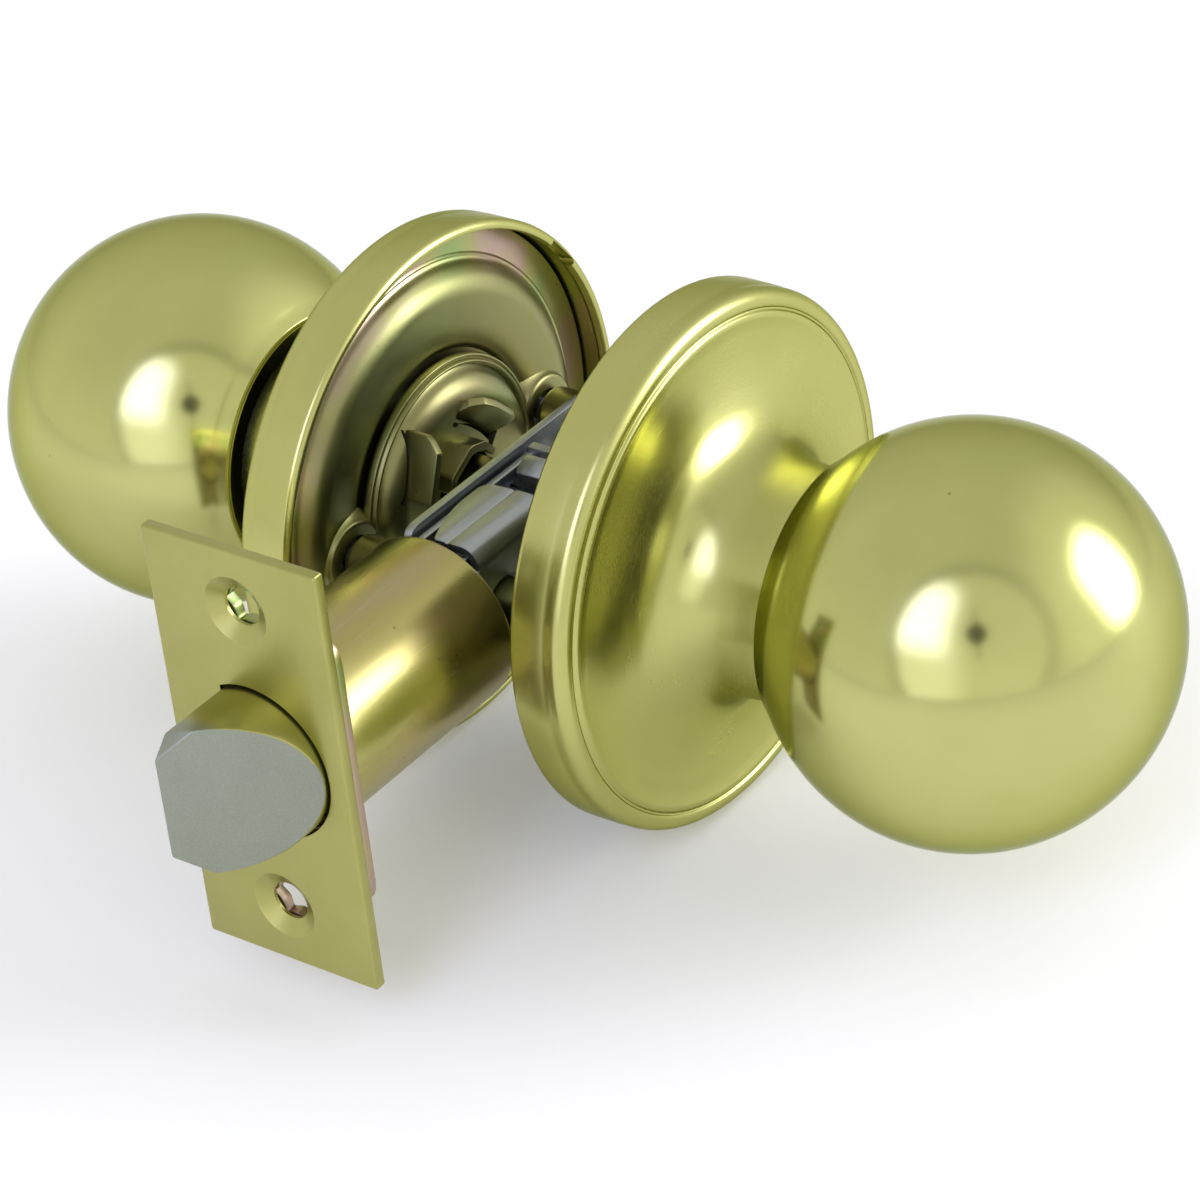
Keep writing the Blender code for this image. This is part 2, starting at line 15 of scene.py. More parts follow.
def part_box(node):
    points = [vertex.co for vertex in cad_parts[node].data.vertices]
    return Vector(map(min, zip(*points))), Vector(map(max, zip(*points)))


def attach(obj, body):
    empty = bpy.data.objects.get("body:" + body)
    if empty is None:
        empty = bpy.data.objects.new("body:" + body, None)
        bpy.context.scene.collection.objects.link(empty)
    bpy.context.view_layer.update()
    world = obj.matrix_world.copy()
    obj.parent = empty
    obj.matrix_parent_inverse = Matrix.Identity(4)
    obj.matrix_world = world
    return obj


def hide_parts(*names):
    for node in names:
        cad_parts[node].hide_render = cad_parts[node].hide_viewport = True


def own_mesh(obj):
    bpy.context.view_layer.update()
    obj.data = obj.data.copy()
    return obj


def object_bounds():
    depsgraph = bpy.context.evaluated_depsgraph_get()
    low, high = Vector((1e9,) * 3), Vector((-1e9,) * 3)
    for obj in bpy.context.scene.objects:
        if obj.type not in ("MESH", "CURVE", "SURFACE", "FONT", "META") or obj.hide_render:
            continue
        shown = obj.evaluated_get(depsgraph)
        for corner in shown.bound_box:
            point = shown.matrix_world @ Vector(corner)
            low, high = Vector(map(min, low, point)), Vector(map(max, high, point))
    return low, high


MM = 0.001
AXES = {"X": (1, 0, 0), "Y": (0, 1, 0), "Z": (0, 0, 1)}
FINE = 112                      # segments round a large turned piece
MEDIUM = 64
SMALL = 40

HOUSING = "door_hardware"       # the bodies of the record
OUTSIDE_KNOB = "outside_knob"
INSIDE_KNOB = "inside_knob"
CAM = "latch_cam"
BOLT = "sliding_bolt"

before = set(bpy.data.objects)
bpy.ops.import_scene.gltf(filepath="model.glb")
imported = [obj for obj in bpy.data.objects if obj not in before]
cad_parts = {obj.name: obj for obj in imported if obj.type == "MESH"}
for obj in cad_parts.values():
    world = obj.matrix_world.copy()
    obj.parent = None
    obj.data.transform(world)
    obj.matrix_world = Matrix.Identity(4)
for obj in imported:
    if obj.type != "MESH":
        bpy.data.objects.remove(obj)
cad_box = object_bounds()


def span(node, axis):
    """The lowest and highest place of a CAD node along an axis, in millimetres."""
    low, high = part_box(node)
    index = "XYZ".index(axis)
    return low[index] / MM, high[index] / MM


# ---------------------------------------------------------------- sizes taken from the frame

DOOR_FACE = span("inside_rose_cover", "Y")[0]
ROSE_RADIUS = span("inside_rose_cover", "Z")[1]
NECK_END = span("inside_rose_cover", "Y")[1]
KNOB_RADIUS = span("inside_knob_ball", "Z")[1]
KNOB_TIP = span("inside_knob_ball", "Y")[1]
KNOB_MOUTH = span("inside_knob_ball", "Y")[0]
PLATE_RADIUS = span("inside_mounting_plate", "Z")[1]
SHANK = span("inside_knob_shank", "Y")
INSERT = span("inside_knob_insert", "Y")
DRIVER = span("inside_spindle_driver", "Y")
RING = span("inside_retaining_ring", "Y")
BUSHING = span("inside_rose_bushing", "Y")
SPINDLE_HALF = span("spindle", "Z")[1]
SPINDLE_END = span("spindle", "Y")[1]
POST = span("rear_screw_post", "Y")
POST_X = 20.0
SPACER_X = 12.1
SPACER_Z = 3.0
SCREW = span("rear_mounting_screw", "Y")
FACE = span("latch_faceplate", "X")
FACE_HALF_WIDTH = span("latch_faceplate", "Y")[1]
FACE_HALF_HEIGHT = span("latch_faceplate", "Z")[1]
FACE_SCREW_Z = 20.6
BACKING = span("latch_backing_plate", "X")
TUBE = span("latch_tube", "X")
TUBE_RADIUS = span("latch_tube", "Z")[1]
BOLT_SPAN = span("latch_bolt", "X")
BOLT_RADIUS = span("latch_bolt", "Z")[1]
BOLT_FLAT = span("latch_bolt", "Y")[1]
BEVEL_END = FACE[0] - 0.5
CASE = span("latch_case_inner_side", "X")
CASE_HALF_HEIGHT = span("latch_case_inner_side", "Z")[1]
CASE_WALLS = span("latch_case_inner_side", "Y")
SEAT = span("latch_spring_seat", "X")
GUIDE = span("latch_spring_guide", "X")
RETRACTOR = span("latch_retractor", "X")
HUB_HALF = span("latch_hub", "Y")[1]
GAP = 0.3


# ---------------------------------------------------------------- outlines

def arc(centre, radius, start, end, steps):
    """Points on a circle from start to end, in degrees."""
    points = []
    for i in range(steps + 1):
        angle = math.radians(start + (end - start) * i / steps)
        points.append((centre[0] + radius * math.cos(angle), centre[1] + radius * math.sin(angle)))
    return points


def box_outline(low, high):
    """The four corners of a rectangle."""
    return [(low[0], low[1]), (high[0], low[1]), (high[0], high[1]), (low[0], high[1])]


def shifted(start, points):
    """The points moved along the axis to start."""
    return [(start + along, radius) for along, radius in points]


def curve_through(points, steps=8):
    """A smooth line through the points (Catmull-Rom)."""
    line = []
    for i in range(len(points) - 1):
        p0 = points[max(i - 1, 0)]
        p1, p2 = points[i], points[i + 1]
        p3 = points[min(i + 2, len(points) - 1)]
        for k in range(steps):
            t = k / steps
            line.append(tuple(
                0.5 * (2 * b + (c - a) * t + (2 * a - 5 * b + 4 * c - d) * t ** 2
                       + (3 * b - a - 3 * c + d) * t ** 3)
                for a, b, c, d in zip(p0, p1, p2, p3)))
    return line + [tuple(points[-1])]


def softened(points, radius, closed=True, steps=5):
    """The outline with its corners rounded; radius is one number or one for each corner."""
    radii = radius if isinstance(radius, (list, tuple)) else [radius] * len(points)
    line = []
    for i, (corner, size) in enumerate(zip(points, radii)):
        if (not closed and i in (0, len(points) - 1)) or size == 0:
            line.append(tuple(corner))
            continue
        here = Vector(corner)
        ends = []
        for other in (points[i - 1], points[(i + 1) % len(points)]):
            away = Vector(other) - here
            ends.append(here + away.normalized() * min(size, away.length * 0.49))
        for k in range(steps + 1):
            t = k / steps
            line.append(tuple(ends[0] * (1 - t) ** 2 + here * 2 * t * (1 - t) + ends[1] * t ** 2))
    return line


def rounded_box(half_width, half_height, radius, steps=5):
    """A rectangle round the origin with its corners rounded."""
    outline = box_outline((-half_width, -half_height), (half_width, half_height))
    return softened(outline, radius, steps=steps)


def sheet_section(face, back):
    """The outline of a pressed sheet: its seen face, and its plainer back from the same end, with the
    two edges rounded."""
    line = face + back[::-1]
    edges = (0, len(face) - 1, len(face), len(line) - 1)
    return softened(line, [0.22 if i in edges else 0 for i in range(len(line))], steps=3)


# ---------------------------------------------------------------- solids

def make_object(name, mesh):
    """An object at the origin for a mesh."""
    piece = bpy.data.objects.new(name, mesh)
    bpy.context.scene.collection.objects.link(piece)
    return piece


def smoothed(mesh, sharp=32):
    """Shades a mesh smooth but for its sharp edges."""
    mesh.shade_smooth()
    mesh.set_sharp_from_angle(angle=math.radians(sharp))
    return mesh


def closed_mesh(name, bm):
    """Turns a bmesh into a mesh whose faces point outwards."""
    bmesh.ops.recalc_face_normals(bm, faces=bm.faces[:])
    mesh = bpy.data.meshes.new(name)
    bm.to_mesh(mesh)
    bm.free()
    return smoothed(mesh)


def turned(name, section, axis="Y", closed=True, steps=FINE, centre=(0, 0, 0)):
    """A solid of revolution; section holds (distance along the axis, radius)."""
    bm = bmesh.new()
    verts = []
    for along, radius in section:
        place = (along, 0, radius) if axis == "X" else (0, along, radius)
        verts.append(bm.verts.new([value * MM for value in place]))
    for first, second in zip(verts, verts[1:]):
        bm.edges.new((first, second))
    if closed:
        bm.edges.new((verts[-1], verts[0]))
    bmesh.ops.spin(bm, geom=bm.verts[:] + bm.edges[:], cent=(0, 0, 0), axis=AXES[axis],
                   angle=2 * math.pi, steps=steps, use_merge=True)
    bmesh.ops.remove_doubles(bm, verts=bm.verts[:], dist=1e-7)
    bmesh.ops.translate(bm, verts=bm.verts[:], vec=[value * MM for value in centre])
    return make_object(name, closed_mesh(name, bm))


def prism(name, outline, axis, low, high, soft=0.0, turn=0.0):
    """An outline extruded along axis, with soft edges; it holds the two other coordinates in X, Y, Z
    order.  turn rotates it about the axis, in degrees, from the first coordinate to the second."""
    place = {"X": lambda u, v, w: (w, u, v), "Y": lambda u, v, w: (u, w, v), "Z": lambda u, v, w: (u, v, w)}
    cos, sin = math.cos(math.radians(turn)), math.sin(math.radians(turn))
    bm = bmesh.new()
    verts = []
    for u, v in outline:
        u, v = u * cos - v * sin, u * sin + v * cos
        verts.append(bm.verts.new([value * MM for value in place[axis](u, v, low)]))
    face = bm.faces.new(verts)
    grown = bmesh.ops.extrude_face_region(bm, geom=[face])
    moved = [item for item in grown["geom"] if isinstance(item, bmesh.types.BMVert)]
    bmesh.ops.translate(bm, verts=moved, vec=[value * (high - low) * MM for value in AXES[axis]])
    piece = make_object(name, closed_mesh(name, bm))
    if soft:
        bevel(piece, soft)
    return piece


def settle(piece):
    """Applies the piece's modifiers to its mesh."""
    bpy.context.view_layer.update()
    depsgraph = bpy.context.evaluated_depsgraph_get()
    mesh = bpy.data.meshes.new_from_object(piece.evaluated_get(depsgraph))
    piece.modifiers.clear()
    old = piece.data
    piece.data = smoothed(mesh)
    bpy.data.meshes.remove(old)
    return piece


def bevel(piece, width, segments=3, angle=35):
    """Rounds the piece's sharp edges."""
    modifier = piece.modifiers.new("soft_edges", "BEVEL")
    modifier.width = width * MM
    modifier.segments = segments
    modifier.limit_method = "ANGLE"
    modifier.angle_limit = math.radians(angle)
    return settle(piece)


def combine(piece, operation, *tools):
    """Combines the piece with each tool in turn, and uses the tool up."""
    for tool in tools:
        modifier = piece.modifiers.new("combine", "BOOLEAN")
        modifier.operation = operation
        modifier.solver = "EXACT"
        modifier.object = tool
        settle(piece)
        bpy.data.objects.remove(tool, do_unlink=True)
    return piece


def cut(piece, *tools):
    """Cuts the tools from the piece."""
    return combine(piece, "DIFFERENCE", *tools)


def add(piece, *tools):
    """Joins the tools onto the piece."""
    return combine(piece, "UNION", *tools)


def joined(piece, *others):
    """One object from several that only touch."""
    bm = bmesh.new()
    bm.from_mesh(piece.data)
    for other in others:
        bm.from_mesh(other.data)
        bpy.data.objects.remove(other, do_unlink=True)
    bm.to_mesh(piece.data)
    bm.free()
    smoothed(piece.data)
    return piece


def hole(radius, low, high, axis="Y", centre=(0, 0, 0)):
    """A cutter for a round hole."""
    line = [(low, 0), (low, radius), (high, radius), (high, 0)]
    return turned("cutter", line, axis, closed=False, steps=MEDIUM, centre=centre)


def coil(name, radius, wire, start, end, turns, axis):
    """A coil spring wound about X or Y from start to end, its last turns lying closer together."""
    per_turn = 28
    closing = 1.5
    count = int(turns * per_turn)
    curve = bpy.data.curves.new(name + "_path", "CURVE")
    curve.dimensions = "3D"
    curve.bevel_depth = wire * MM
    curve.bevel_resolution = 4
    curve.use_fill_caps = True
    spline = curve.splines.new("POLY")
    spline.points.add(count)
    for i in range(count + 1):
        angle = 2 * math.pi * i / per_turn
        share = i / count
        eased = share - closing / (2 * math.pi * turns) * math.sin(2 * math.pi * share)
        along = start + (end - start) * eased
        across = (radius * math.cos(angle), radius * math.sin(angle))
        place = (along, *across) if axis == "X" else (across[0], along, across[1])
        spline.points[i].co = [value * MM for value in place] + [1.0]
    path = make_object(name + "_path", curve)
    bpy.context.view_layer.update()
    mesh = bpy.data.meshes.new_from_object(path.evaluated_get(bpy.context.evaluated_depsgraph_get()))
    bpy.data.objects.remove(path, do_unlink=True)
    mesh.name = name
    return make_object(name, smoothed(mesh, 60))


def twin(piece):
    """The same piece on the outside of the door."""
    name = piece.name.replace("inside", "outside")
    mesh = piece.data.copy()
    mesh.transform(Matrix.Scale(-1, 4, (0, 1, 0)))
    mesh.flip_normals()
    return make_object(name, mesh)


# ---------------------------------------------------------------- materials

class Surface:
    """A metal or plastic being built from nodes, in the piece's own coordinates (metres)."""

    def __init__(self, name, metallic, roughness):
        self.material = bpy.data.materials.new(name)
        self.material.use_nodes = True
        self.tree = self.material.node_tree
        self.shader = self.tree.nodes["Principled BSDF"]
        self.shader.inputs["Metallic"].default_value = metallic
        self.shader.inputs["Roughness"].default_value = roughness
        self.place = self.tree.nodes.new("ShaderNodeTexCoord").outputs["Object"]

    def edge_tint(self, colour):
        """Dims a metal where it is seen at a grazing angle."""
        self.shader.inputs["Specular Tint"].default_value = (*colour, 1.0)

    def put(self, value, socket):
        """Links a socket, or sets a number or colour."""
        if isinstance(value, bpy.types.NodeSocket):
            self.tree.links.new(value, socket)
        else:
            socket.default_value = value

    def math(self, operation, first, second=0.0, clamp=False):
        node = self.tree.nodes.new("ShaderNodeMath")
        node.operation = operation
        node.use_clamp = clamp
        self.put(first, node.inputs[0])
        self.put(second, node.inputs[1])
        return node.outputs[0]

    def vector(self, operation, first, second):
        node = self.tree.nodes.new("ShaderNodeVectorMath")
        node.operation = operation
        self.put(first, node.inputs[0])
        self.put(second, node.inputs[1])
        return node.outputs["Value" if operation in ("DOT_PRODUCT", "LENGTH") else "Vector"]

    def from_axis(self):
        """The distance from the axis of the knobs."""
        return self.vector("LENGTH", self.vector("MULTIPLY", self.place, (1, 0, 1)), (0, 0, 0))

    def stretched(self, scale):
        """The piece's coordinates multiplied along each axis."""
        return self.vector("MULTIPLY", self.place, scale)

    def spun(self, across, around):
        """Coordinates that run with the marks of a tool as the piece turns about Y."""
        split = self.tree.nodes.new("ShaderNodeSeparateXYZ")
        self.put(self.place, split.inputs[0])
        angle = self.math("ARCTAN2", split.outputs["X"], split.outputs["Z"])
        merge = self.tree.nodes.new("ShaderNodeCombineXYZ")
        self.put(self.math("MULTIPLY", self.from_axis(), across), merge.inputs["X"])
        self.put(self.math("MULTIPLY", split.outputs["Y"], across), merge.inputs["Y"])
        self.put(self.math("MULTIPLY", angle, around), merge.inputs["Z"])
        return merge.outputs[0]

    def noise(self, vector, scale=1.0, detail=3.0, roughness=0.55, distortion=0.0):
        node = self.tree.nodes.new("ShaderNodeTexNoise")
        self.put(vector, node.inputs["Vector"])
        for label, value in (("Scale", scale), ("Detail", detail), ("Roughness", roughness),
                             ("Distortion", distortion)):
            node.inputs[label].default_value = value
        return node.outputs["Fac"]

    def specks(self, scale, size):
        """1 inside small scattered dots and 0 elsewhere; size is the dot's share of its cell."""
        node = self.tree.nodes.new("ShaderNodeTexVoronoi")
        self.put(self.place, node.inputs["Vector"])
        node.inputs["Scale"].default_value = scale
        return self.spread(node.outputs["Distance"], size, size * 0.5, 0.0, 1.0)

    def spread(self, value, from_low, from_high, low, high, shape="LINEAR"):
        """Maps a range of values onto another, and stays inside it."""
        node = self.tree.nodes.new("ShaderNodeMapRange")
        node.interpolation_type = shape
        for i, number in enumerate((value, from_low, from_high, low, high)):
            self.put(number, node.inputs[i])
        return node.outputs[0]

    def follow(self, noise, low, high):
        """A value that goes from low to high over a noise's middle range."""
        return self.spread(noise, 0.3, 0.7, low, high)

    def ramp(self, value, *stops):
        """Colours by value; each stop is (place, (red, green, blue))."""
        node = self.tree.nodes.new("ShaderNodeValToRGB")
        elements = node.color_ramp.elements
        while len(elements) < len(stops):
            elements.new(0.5)
        for element, (place, colour) in zip(elements, stops):
            element.position = place
            element.color = (*colour, 1.0)
        self.put(value, node.inputs[0])
        return node.outputs[0]

    def mixed(self, share, first, second):
        """One colour turning into another."""
        node = self.tree.nodes.new("ShaderNodeMix")
        node.data_type = "RGBA"
        self.put(share, node.inputs["Factor"])
        for name, value in (("A", first), ("B", second)):
            socket = [s for s in node.inputs if s.name == name and s.type == "RGBA"][0]
            self.put(value if isinstance(value, bpy.types.NodeSocket) else (*value, 1.0), socket)
        return [s for s in node.outputs if s.type == "RGBA"][0]

    def finish(self, colour, roughness=None, height=None, depth=0.01):
        """Connects the colour, the roughness and a bump of that depth in millimetres."""
        self.put(colour, self.shader.inputs["Base Color"])
        if roughness is not None:
            self.put(roughness, self.shader.inputs["Roughness"])
        if height is not None:
            node = self.tree.nodes.new("ShaderNodeBump")
            node.inputs["Distance"].default_value = depth * MM
            self.put(height, node.inputs["Height"])
            self.put(node.outputs[0], self.shader.inputs["Normal"])
        return self.material


def polished_brass():
    """The balls: buffed brass plate, with faint haze and a few pin marks."""
    surface = Surface("polished_brass_ball", 1.0, 0.13)
    surface.edge_tint((0.55, 0.57, 0.42))
    haze = surface.noise(surface.place, 70, 4)
    buffing = surface.noise(surface.spun(900, 30), 1, 2)
    marks = surface.specks(75, 0.018)
    tone = surface.ramp(haze, (0.3, (0.485, 0.487, 0.168)), (0.7, (0.52, 0.522, 0.195)))
    colour = surface.mixed(marks, tone, (0.30, 0.29, 0.11))
    rough = surface.math("ADD", surface.follow(haze, 0.115, 0.16),
                         surface.math("MULTIPLY", buffing, 0.03))
    return surface.finish(colour, rough, surface.math("MULTIPLY", marks, -1.0), 0.01)


def spun_brass():
    """The rose covers: spun brass plate, satin along the tool's marks."""
    surface = Surface("spun_brass_rose", 1.0, 0.2)
    surface.edge_tint((0.55, 0.57, 0.40))
    haze = surface.noise(surface.place, 60, 4)
    tool_marks = surface.noise(surface.spun(2600, 6), 1, 3, 0.6)
    tone = surface.ramp(haze, (0.3, (0.475, 0.47, 0.155)), (0.7, (0.515, 0.51, 0.18)))
    colour = surface.mixed(surface.specks(120, 0.02), tone, (0.28, 0.27, 0.09))
    rough = surface.math("ADD", surface.follow(haze, 0.19, 0.24),
                         surface.math("MULTIPLY", tool_marks, 0.08))
    return surface.finish(colour, rough, tool_marks, 0.0007)


def satin_brass():
    """The faceplate and the bolt's sides: brass plate over a fine grained stamping, rubbed off at the
    bolt's tip."""
    surface = Surface("satin_brass_plate", 1.0, 0.36)
    cloud = surface.noise(surface.place, 90, 4)
    grain = surface.noise(surface.place, 2600, 3, 0.7)
    tone = surface.ramp(cloud, (0.3, (0.375, 0.365, 0.112)), (0.7, (0.43, 0.42, 0.138)))
    along = surface.vector("DOT_PRODUCT", surface.place, AXES["X"])
    rubbed = surface.spread(along, -0.0685, -0.0668, 0.85, 0.0)
    bared = surface.mixed(rubbed, tone, (0.30, 0.315, 0.25))
    colour = surface.mixed(surface.specks(150, 0.04), bared, (0.25, 0.235, 0.08))
    rough = surface.math("ADD", surface.follow(cloud, 0.25, 0.33),
                         surface.math("MULTIPLY", grain, 0.08))
    return surface.finish(colour, rough, grain, 0.006)


def yellow_chromate():
    """Zinc plate with a yellow chromate film: olive gold, with green and rose out on the plate's rim."""
    surface = Surface("yellow_chromate_film", 1.0, 0.36)
    drift = surface.noise(surface.stretched((38, 54, 54)), 1, 1, 0.4)
    clouds = surface.noise(surface.place, 150, 1, 0.4)
    tone = surface.ramp(drift, (0.3, (0.21, 0.23, 0.085)), (0.5, (0.25, 0.255, 0.09)),
                        (0.65, (0.27, 0.25, 0.105)), (0.78, (0.21, 0.25, 0.088)))
    bands = surface.noise(surface.stretched((62, 62, 90)), 1, 1, 0.4, 0.4)
    rainbow = surface.ramp(bands, (0.3, (0.28, 0.42, 0.15)), (0.43, (0.44, 0.42, 0.16)),
                           (0.52, (0.54, 0.37, 0.34)), (0.62, (0.52, 0.42, 0.24)),
                           (0.72, (0.32, 0.46, 0.19)))
    film = surface.mixed(surface.spread(surface.from_axis(), 0.026, 0.029, 0.0, 0.75), tone, rainbow)
    colour = surface.mixed(surface.specks(260, 0.06), film, (0.20, 0.19, 0.08))
    rough = surface.follow(clouds, 0.31, 0.41)
    return surface.finish(colour, rough, surface.noise(surface.place, 1700, 3), 0.003)


def bright_chromate():
    """The same film on the drawn latch tube: brighter gold, with marks along the tube."""
    surface = Surface("bright_chromate_film", 1.0, 0.3)
    drift = surface.noise(surface.stretched((26, 90, 90)), 1, 1, 0.4)
    tone = surface.ramp(drift, (0.3, (0.36, 0.36, 0.11)), (0.5, (0.45, 0.39, 0.14)),
                        (0.6, (0.46, 0.385, 0.19)), (0.72, (0.40, 0.39, 0.125)))
    streaks = surface.noise(surface.stretched((90, 1500, 1500)), 1, 3, 0.65)
    worn = surface.mixed(surface.spread(streaks, 0.6, 0.8, 0.0, 0.3), tone, (0.58, 0.56, 0.36))
    colour = surface.mixed(surface.specks(260, 0.06), worn, (0.26, 0.24, 0.09))
    rough = surface.follow(drift, 0.25, 0.32)
    return surface.finish(colour, rough, streaks, 0.003)


def bright_zinc():
    """The latch case's clear zinc plate, with drawing marks along the strip."""
    surface = Surface("bright_zinc_plate", 1.0, 0.34)
    marks = surface.noise(surface.stretched((60, 1800, 1800)), 1, 4, 0.6)
    cloud = surface.noise(surface.place, 120, 3)
    tone = surface.ramp(cloud, (0.3, (0.34, 0.37, 0.355)), (0.6, (0.40, 0.42, 0.40)),
                        (0.8, (0.41, 0.39, 0.34)))
    colour = surface.mixed(surface.spread(marks, 0.5, 0.75, 0.0, 0.5), tone, (0.50, 0.52, 0.50))
    rough = surface.follow(marks, 0.32, 0.46)
    return surface.finish(colour, rough, marks, 0.004)


def ground_steel():
    """The bolt's bevel: plain, finely ground and grainy."""
    surface = Surface("ground_bevel_face", 1.0, 0.5)
    grain = surface.noise(surface.place, 4200, 4, 0.75)
    cloud = surface.noise(surface.place, 160, 3)
    tone = surface.ramp(grain, (0.35, (0.28, 0.30, 0.235)), (0.6, (0.315, 0.335, 0.27)),
                        (0.8, (0.365, 0.385, 0.32)))
    rough = surface.follow(cloud, 0.46, 0.56)
    return surface.finish(tone, rough, grain, 0.008)


def spring_steel():
    """Drawn wire and leaf, with lengthwise marks and a trace of oil."""
    surface = Surface("spring_steel_wire", 1.0, 0.3)
    marks = surface.noise(surface.place, 900, 4, 0.6)
    tone = surface.ramp(marks, (0.35, (0.19, 0.19, 0.19)), (0.65, (0.30, 0.30, 0.295)))
    return surface.finish(tone, surface.follow(marks, 0.24, 0.4), marks, 0.004)


def nylon():
    """Moulded nylon, a little mottled."""
    surface = Surface("moulded_nylon", 0.0, 0.5)
    cloud = surface.noise(surface.place, 300, 4)
    tone = surface.ramp(cloud, (0.3, (0.55, 0.53, 0.46)), (0.7, (0.64, 0.62, 0.55)))
    return surface.finish(tone, surface.follow(cloud, 0.42, 0.58), cloud, 0.01)


FINISHES = {
    "polished_brass": polished_brass(),
    "spun_brass": spun_brass(),
    "satin_brass": satin_brass(),
    "yellow_chromate": yellow_chromate(),
    "bright_chromate": bright_chromate(),
    "bright_zinc": bright_zinc(),
    "ground_steel": ground_steel(),
    "spring_steel": spring_steel(),
    "nylon": nylon(),
}


def stand_for(piece, node, body, finish):
    """Gives a piece its finish and body, and shows it in place of its CAD node."""
    piece.data.materials.clear()
    piece.data.materials.append(FINISHES[finish])
    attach(piece, body)
    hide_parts(node)
    return piece


# ---------------------------------------------------------------- knobs

def knob_ball():
    """The pressed ball with a hem rolled round its mouth."""
    depth, wall, hem = 25.2, 0.9, 0.6
    centre = KNOB_TIP - depth
    start = math.degrees(math.acos((KNOB_MOUTH + 1.0 - centre) / depth))
    shell = arc((0, 0), 1.0, start, 0, 60)
    mouth = KNOB_RADIUS * shell[0][1] - 1.0
    line = arc((KNOB_MOUTH + hem, mouth), hem, -20, -235, 12)
    line += [(centre + depth * c, KNOB_RADIUS * s) for c, s in shell]
    back = [(centre + (depth - wall) * c, (KNOB_RADIUS - wall) * s) for c, s in shell[::-1]]
    line[-1] = (line[-1][0], 0.0)
    back[0] = (back[0][0], 0.0)
    return turned("inside_ball_shell", line + back, closed=False)


def knob_insert():
    """The steel disc that holds the ball on its shank, with a collar."""
    low, high = INSERT
    section = [(low, 9.3), (low, 17.0), (low + 1.4, 17.0), (low + 1.4, 11.2), (high, 11.2), (high, 9.3)]
    return turned("inside_insert_disc", softened(section, 0.3), steps=MEDIUM)


def knob_shank():
    """The drawn tube that carries the knob, with a flange that stops it behind the hub cap."""
    low, high = SHANK
    section = [(low, 7.6), (low, 10.8), (low + 1.0, 10.8), (low + 1.0, 9.0), (high, 9.0), (high, 7.6)]
    return turned("inside_shank_tube", softened(section, 0.25), steps=MEDIUM)


def spindle_driver():
    """The disc inside the shank whose square hole takes the spindle."""
    low, high = DRIVER
    section = softened([(low, 0), (low, 7.3), (high, 7.3), (high, 0)], 0.3, closed=False)
    disc = turned("inside_driver_disc", section, closed=False, steps=MEDIUM)
    return cut(disc, square_cutter())


def square_cutter():
    """The square hole that the spindle goes through."""
    half = SPINDLE_HALF + GAP
    return prism("cutter", rounded_box(half, half, 0.4), "Y", -35, 35)


def retaining_ring():
    """The open ring that stops the shank from pulling out of the mounting plate."""
    outline = arc((0, 0), 12.2, 25, 335, 60) + arc((0, 0), 9.3, 335, 25, 60)
    return prism("inside_retaining_clip", softened(outline, 0.5), "Y", *RING, soft=0.12)


def knob_catch():
    """The leaf inside the inside knob's shank that the knob snaps over, with a hump at its end."""
    low, high = span("knob_catch", "Y")
    bottom, top = span("knob_catch", "Z")
    line = softened([(low, bottom), (high, bottom), (high, top - 0.2), (high - 1.2, top),
                     (high - 4.5, top - 0.3), (low, top - 0.3)], 0.3)
    return prism("knob_catch_leaf", line, "X", -1.5, 1.5, soft=0.08)


def spindle():
    """The square tube that joins both knobs through the latch, folded from strip."""
    half = SPINDLE_HALF - 0.9
    bar = prism("spindle_bar", rounded_box(SPINDLE_HALF, SPINDLE_HALF, 0.9), "Y", -SPINDLE_END, SPINDLE_END)
    core = prism("cutter", rounded_box(half, half, 0.4), "Y", -40, 40)
    return bevel(cut(bar, core), 0.12, 2)


# ---------------------------------------------------------------- roses and what is behind them

def rose_cover():
    """The spun cover: lip, skirt, crease, front roll, groove, ridge, flat dish and trumpet neck."""
    front, neck = DOOR_FACE + 7.8, 14.6
    face = shifted(DOOR_FACE, [(1.2, 32.6), (0.5, 32.6), (0.1, 32.8)])
    face += arc((DOOR_FACE + 0.95, ROSE_RADIUS - 0.95), 0.95, 180, 90, 8)
    face += shifted(DOOR_FACE, [(2.4, ROSE_RADIUS), (4.9, ROSE_RADIUS - 0.03), (5.25, ROSE_RADIUS - 0.13),
                                (5.6, ROSE_RADIUS - 0.08)])
    face += arc((front - 1.55, ROSE_RADIUS - 1.7), 1.6, 84, 10, 12)
    dish = shifted(front, [(0.06, 32.05), (-0.02, 31.8), (-0.2, 31.6), (-0.16, 31.38), (0.1, 31.1),
                           (0.2, 30.6), (0.06, 29.9), (-0.12, 28.6), (-0.16, 26.0), (0.05, 23.8),
                           (0.5, 21.6), (1.3, 19.3), (2.7, 17.2), (4.6, 15.85), (7.2, 15.0),
                           (10.6, neck + 0.05)])
    face += curve_through(dish + [(NECK_END - 1.2, neck), (NECK_END, neck)], 6)
    back = shifted(DOOR_FACE, [(1.7, 33.0), (2.4, 33.1), (5.8, 33.1)])
    back += shifted(front, [(-1.3, 32.5), (-0.9, 31.6)])
    dish = shifted(front, [(-0.95, 29.0), (-1.05, 26.0), (-0.9, 23.8), (-0.45, 21.3), (0.45, 18.8),
                           (2.0, 16.5), (4.2, 15.0), (7.0, 14.1), (10.6, neck - 0.88)])
    back += curve_through(dish + [(NECK_END - 1.2, neck - 0.9), (NECK_END, neck - 0.9)], 4)
    return turned("inside_rose_shell", sheet_section(face, back))


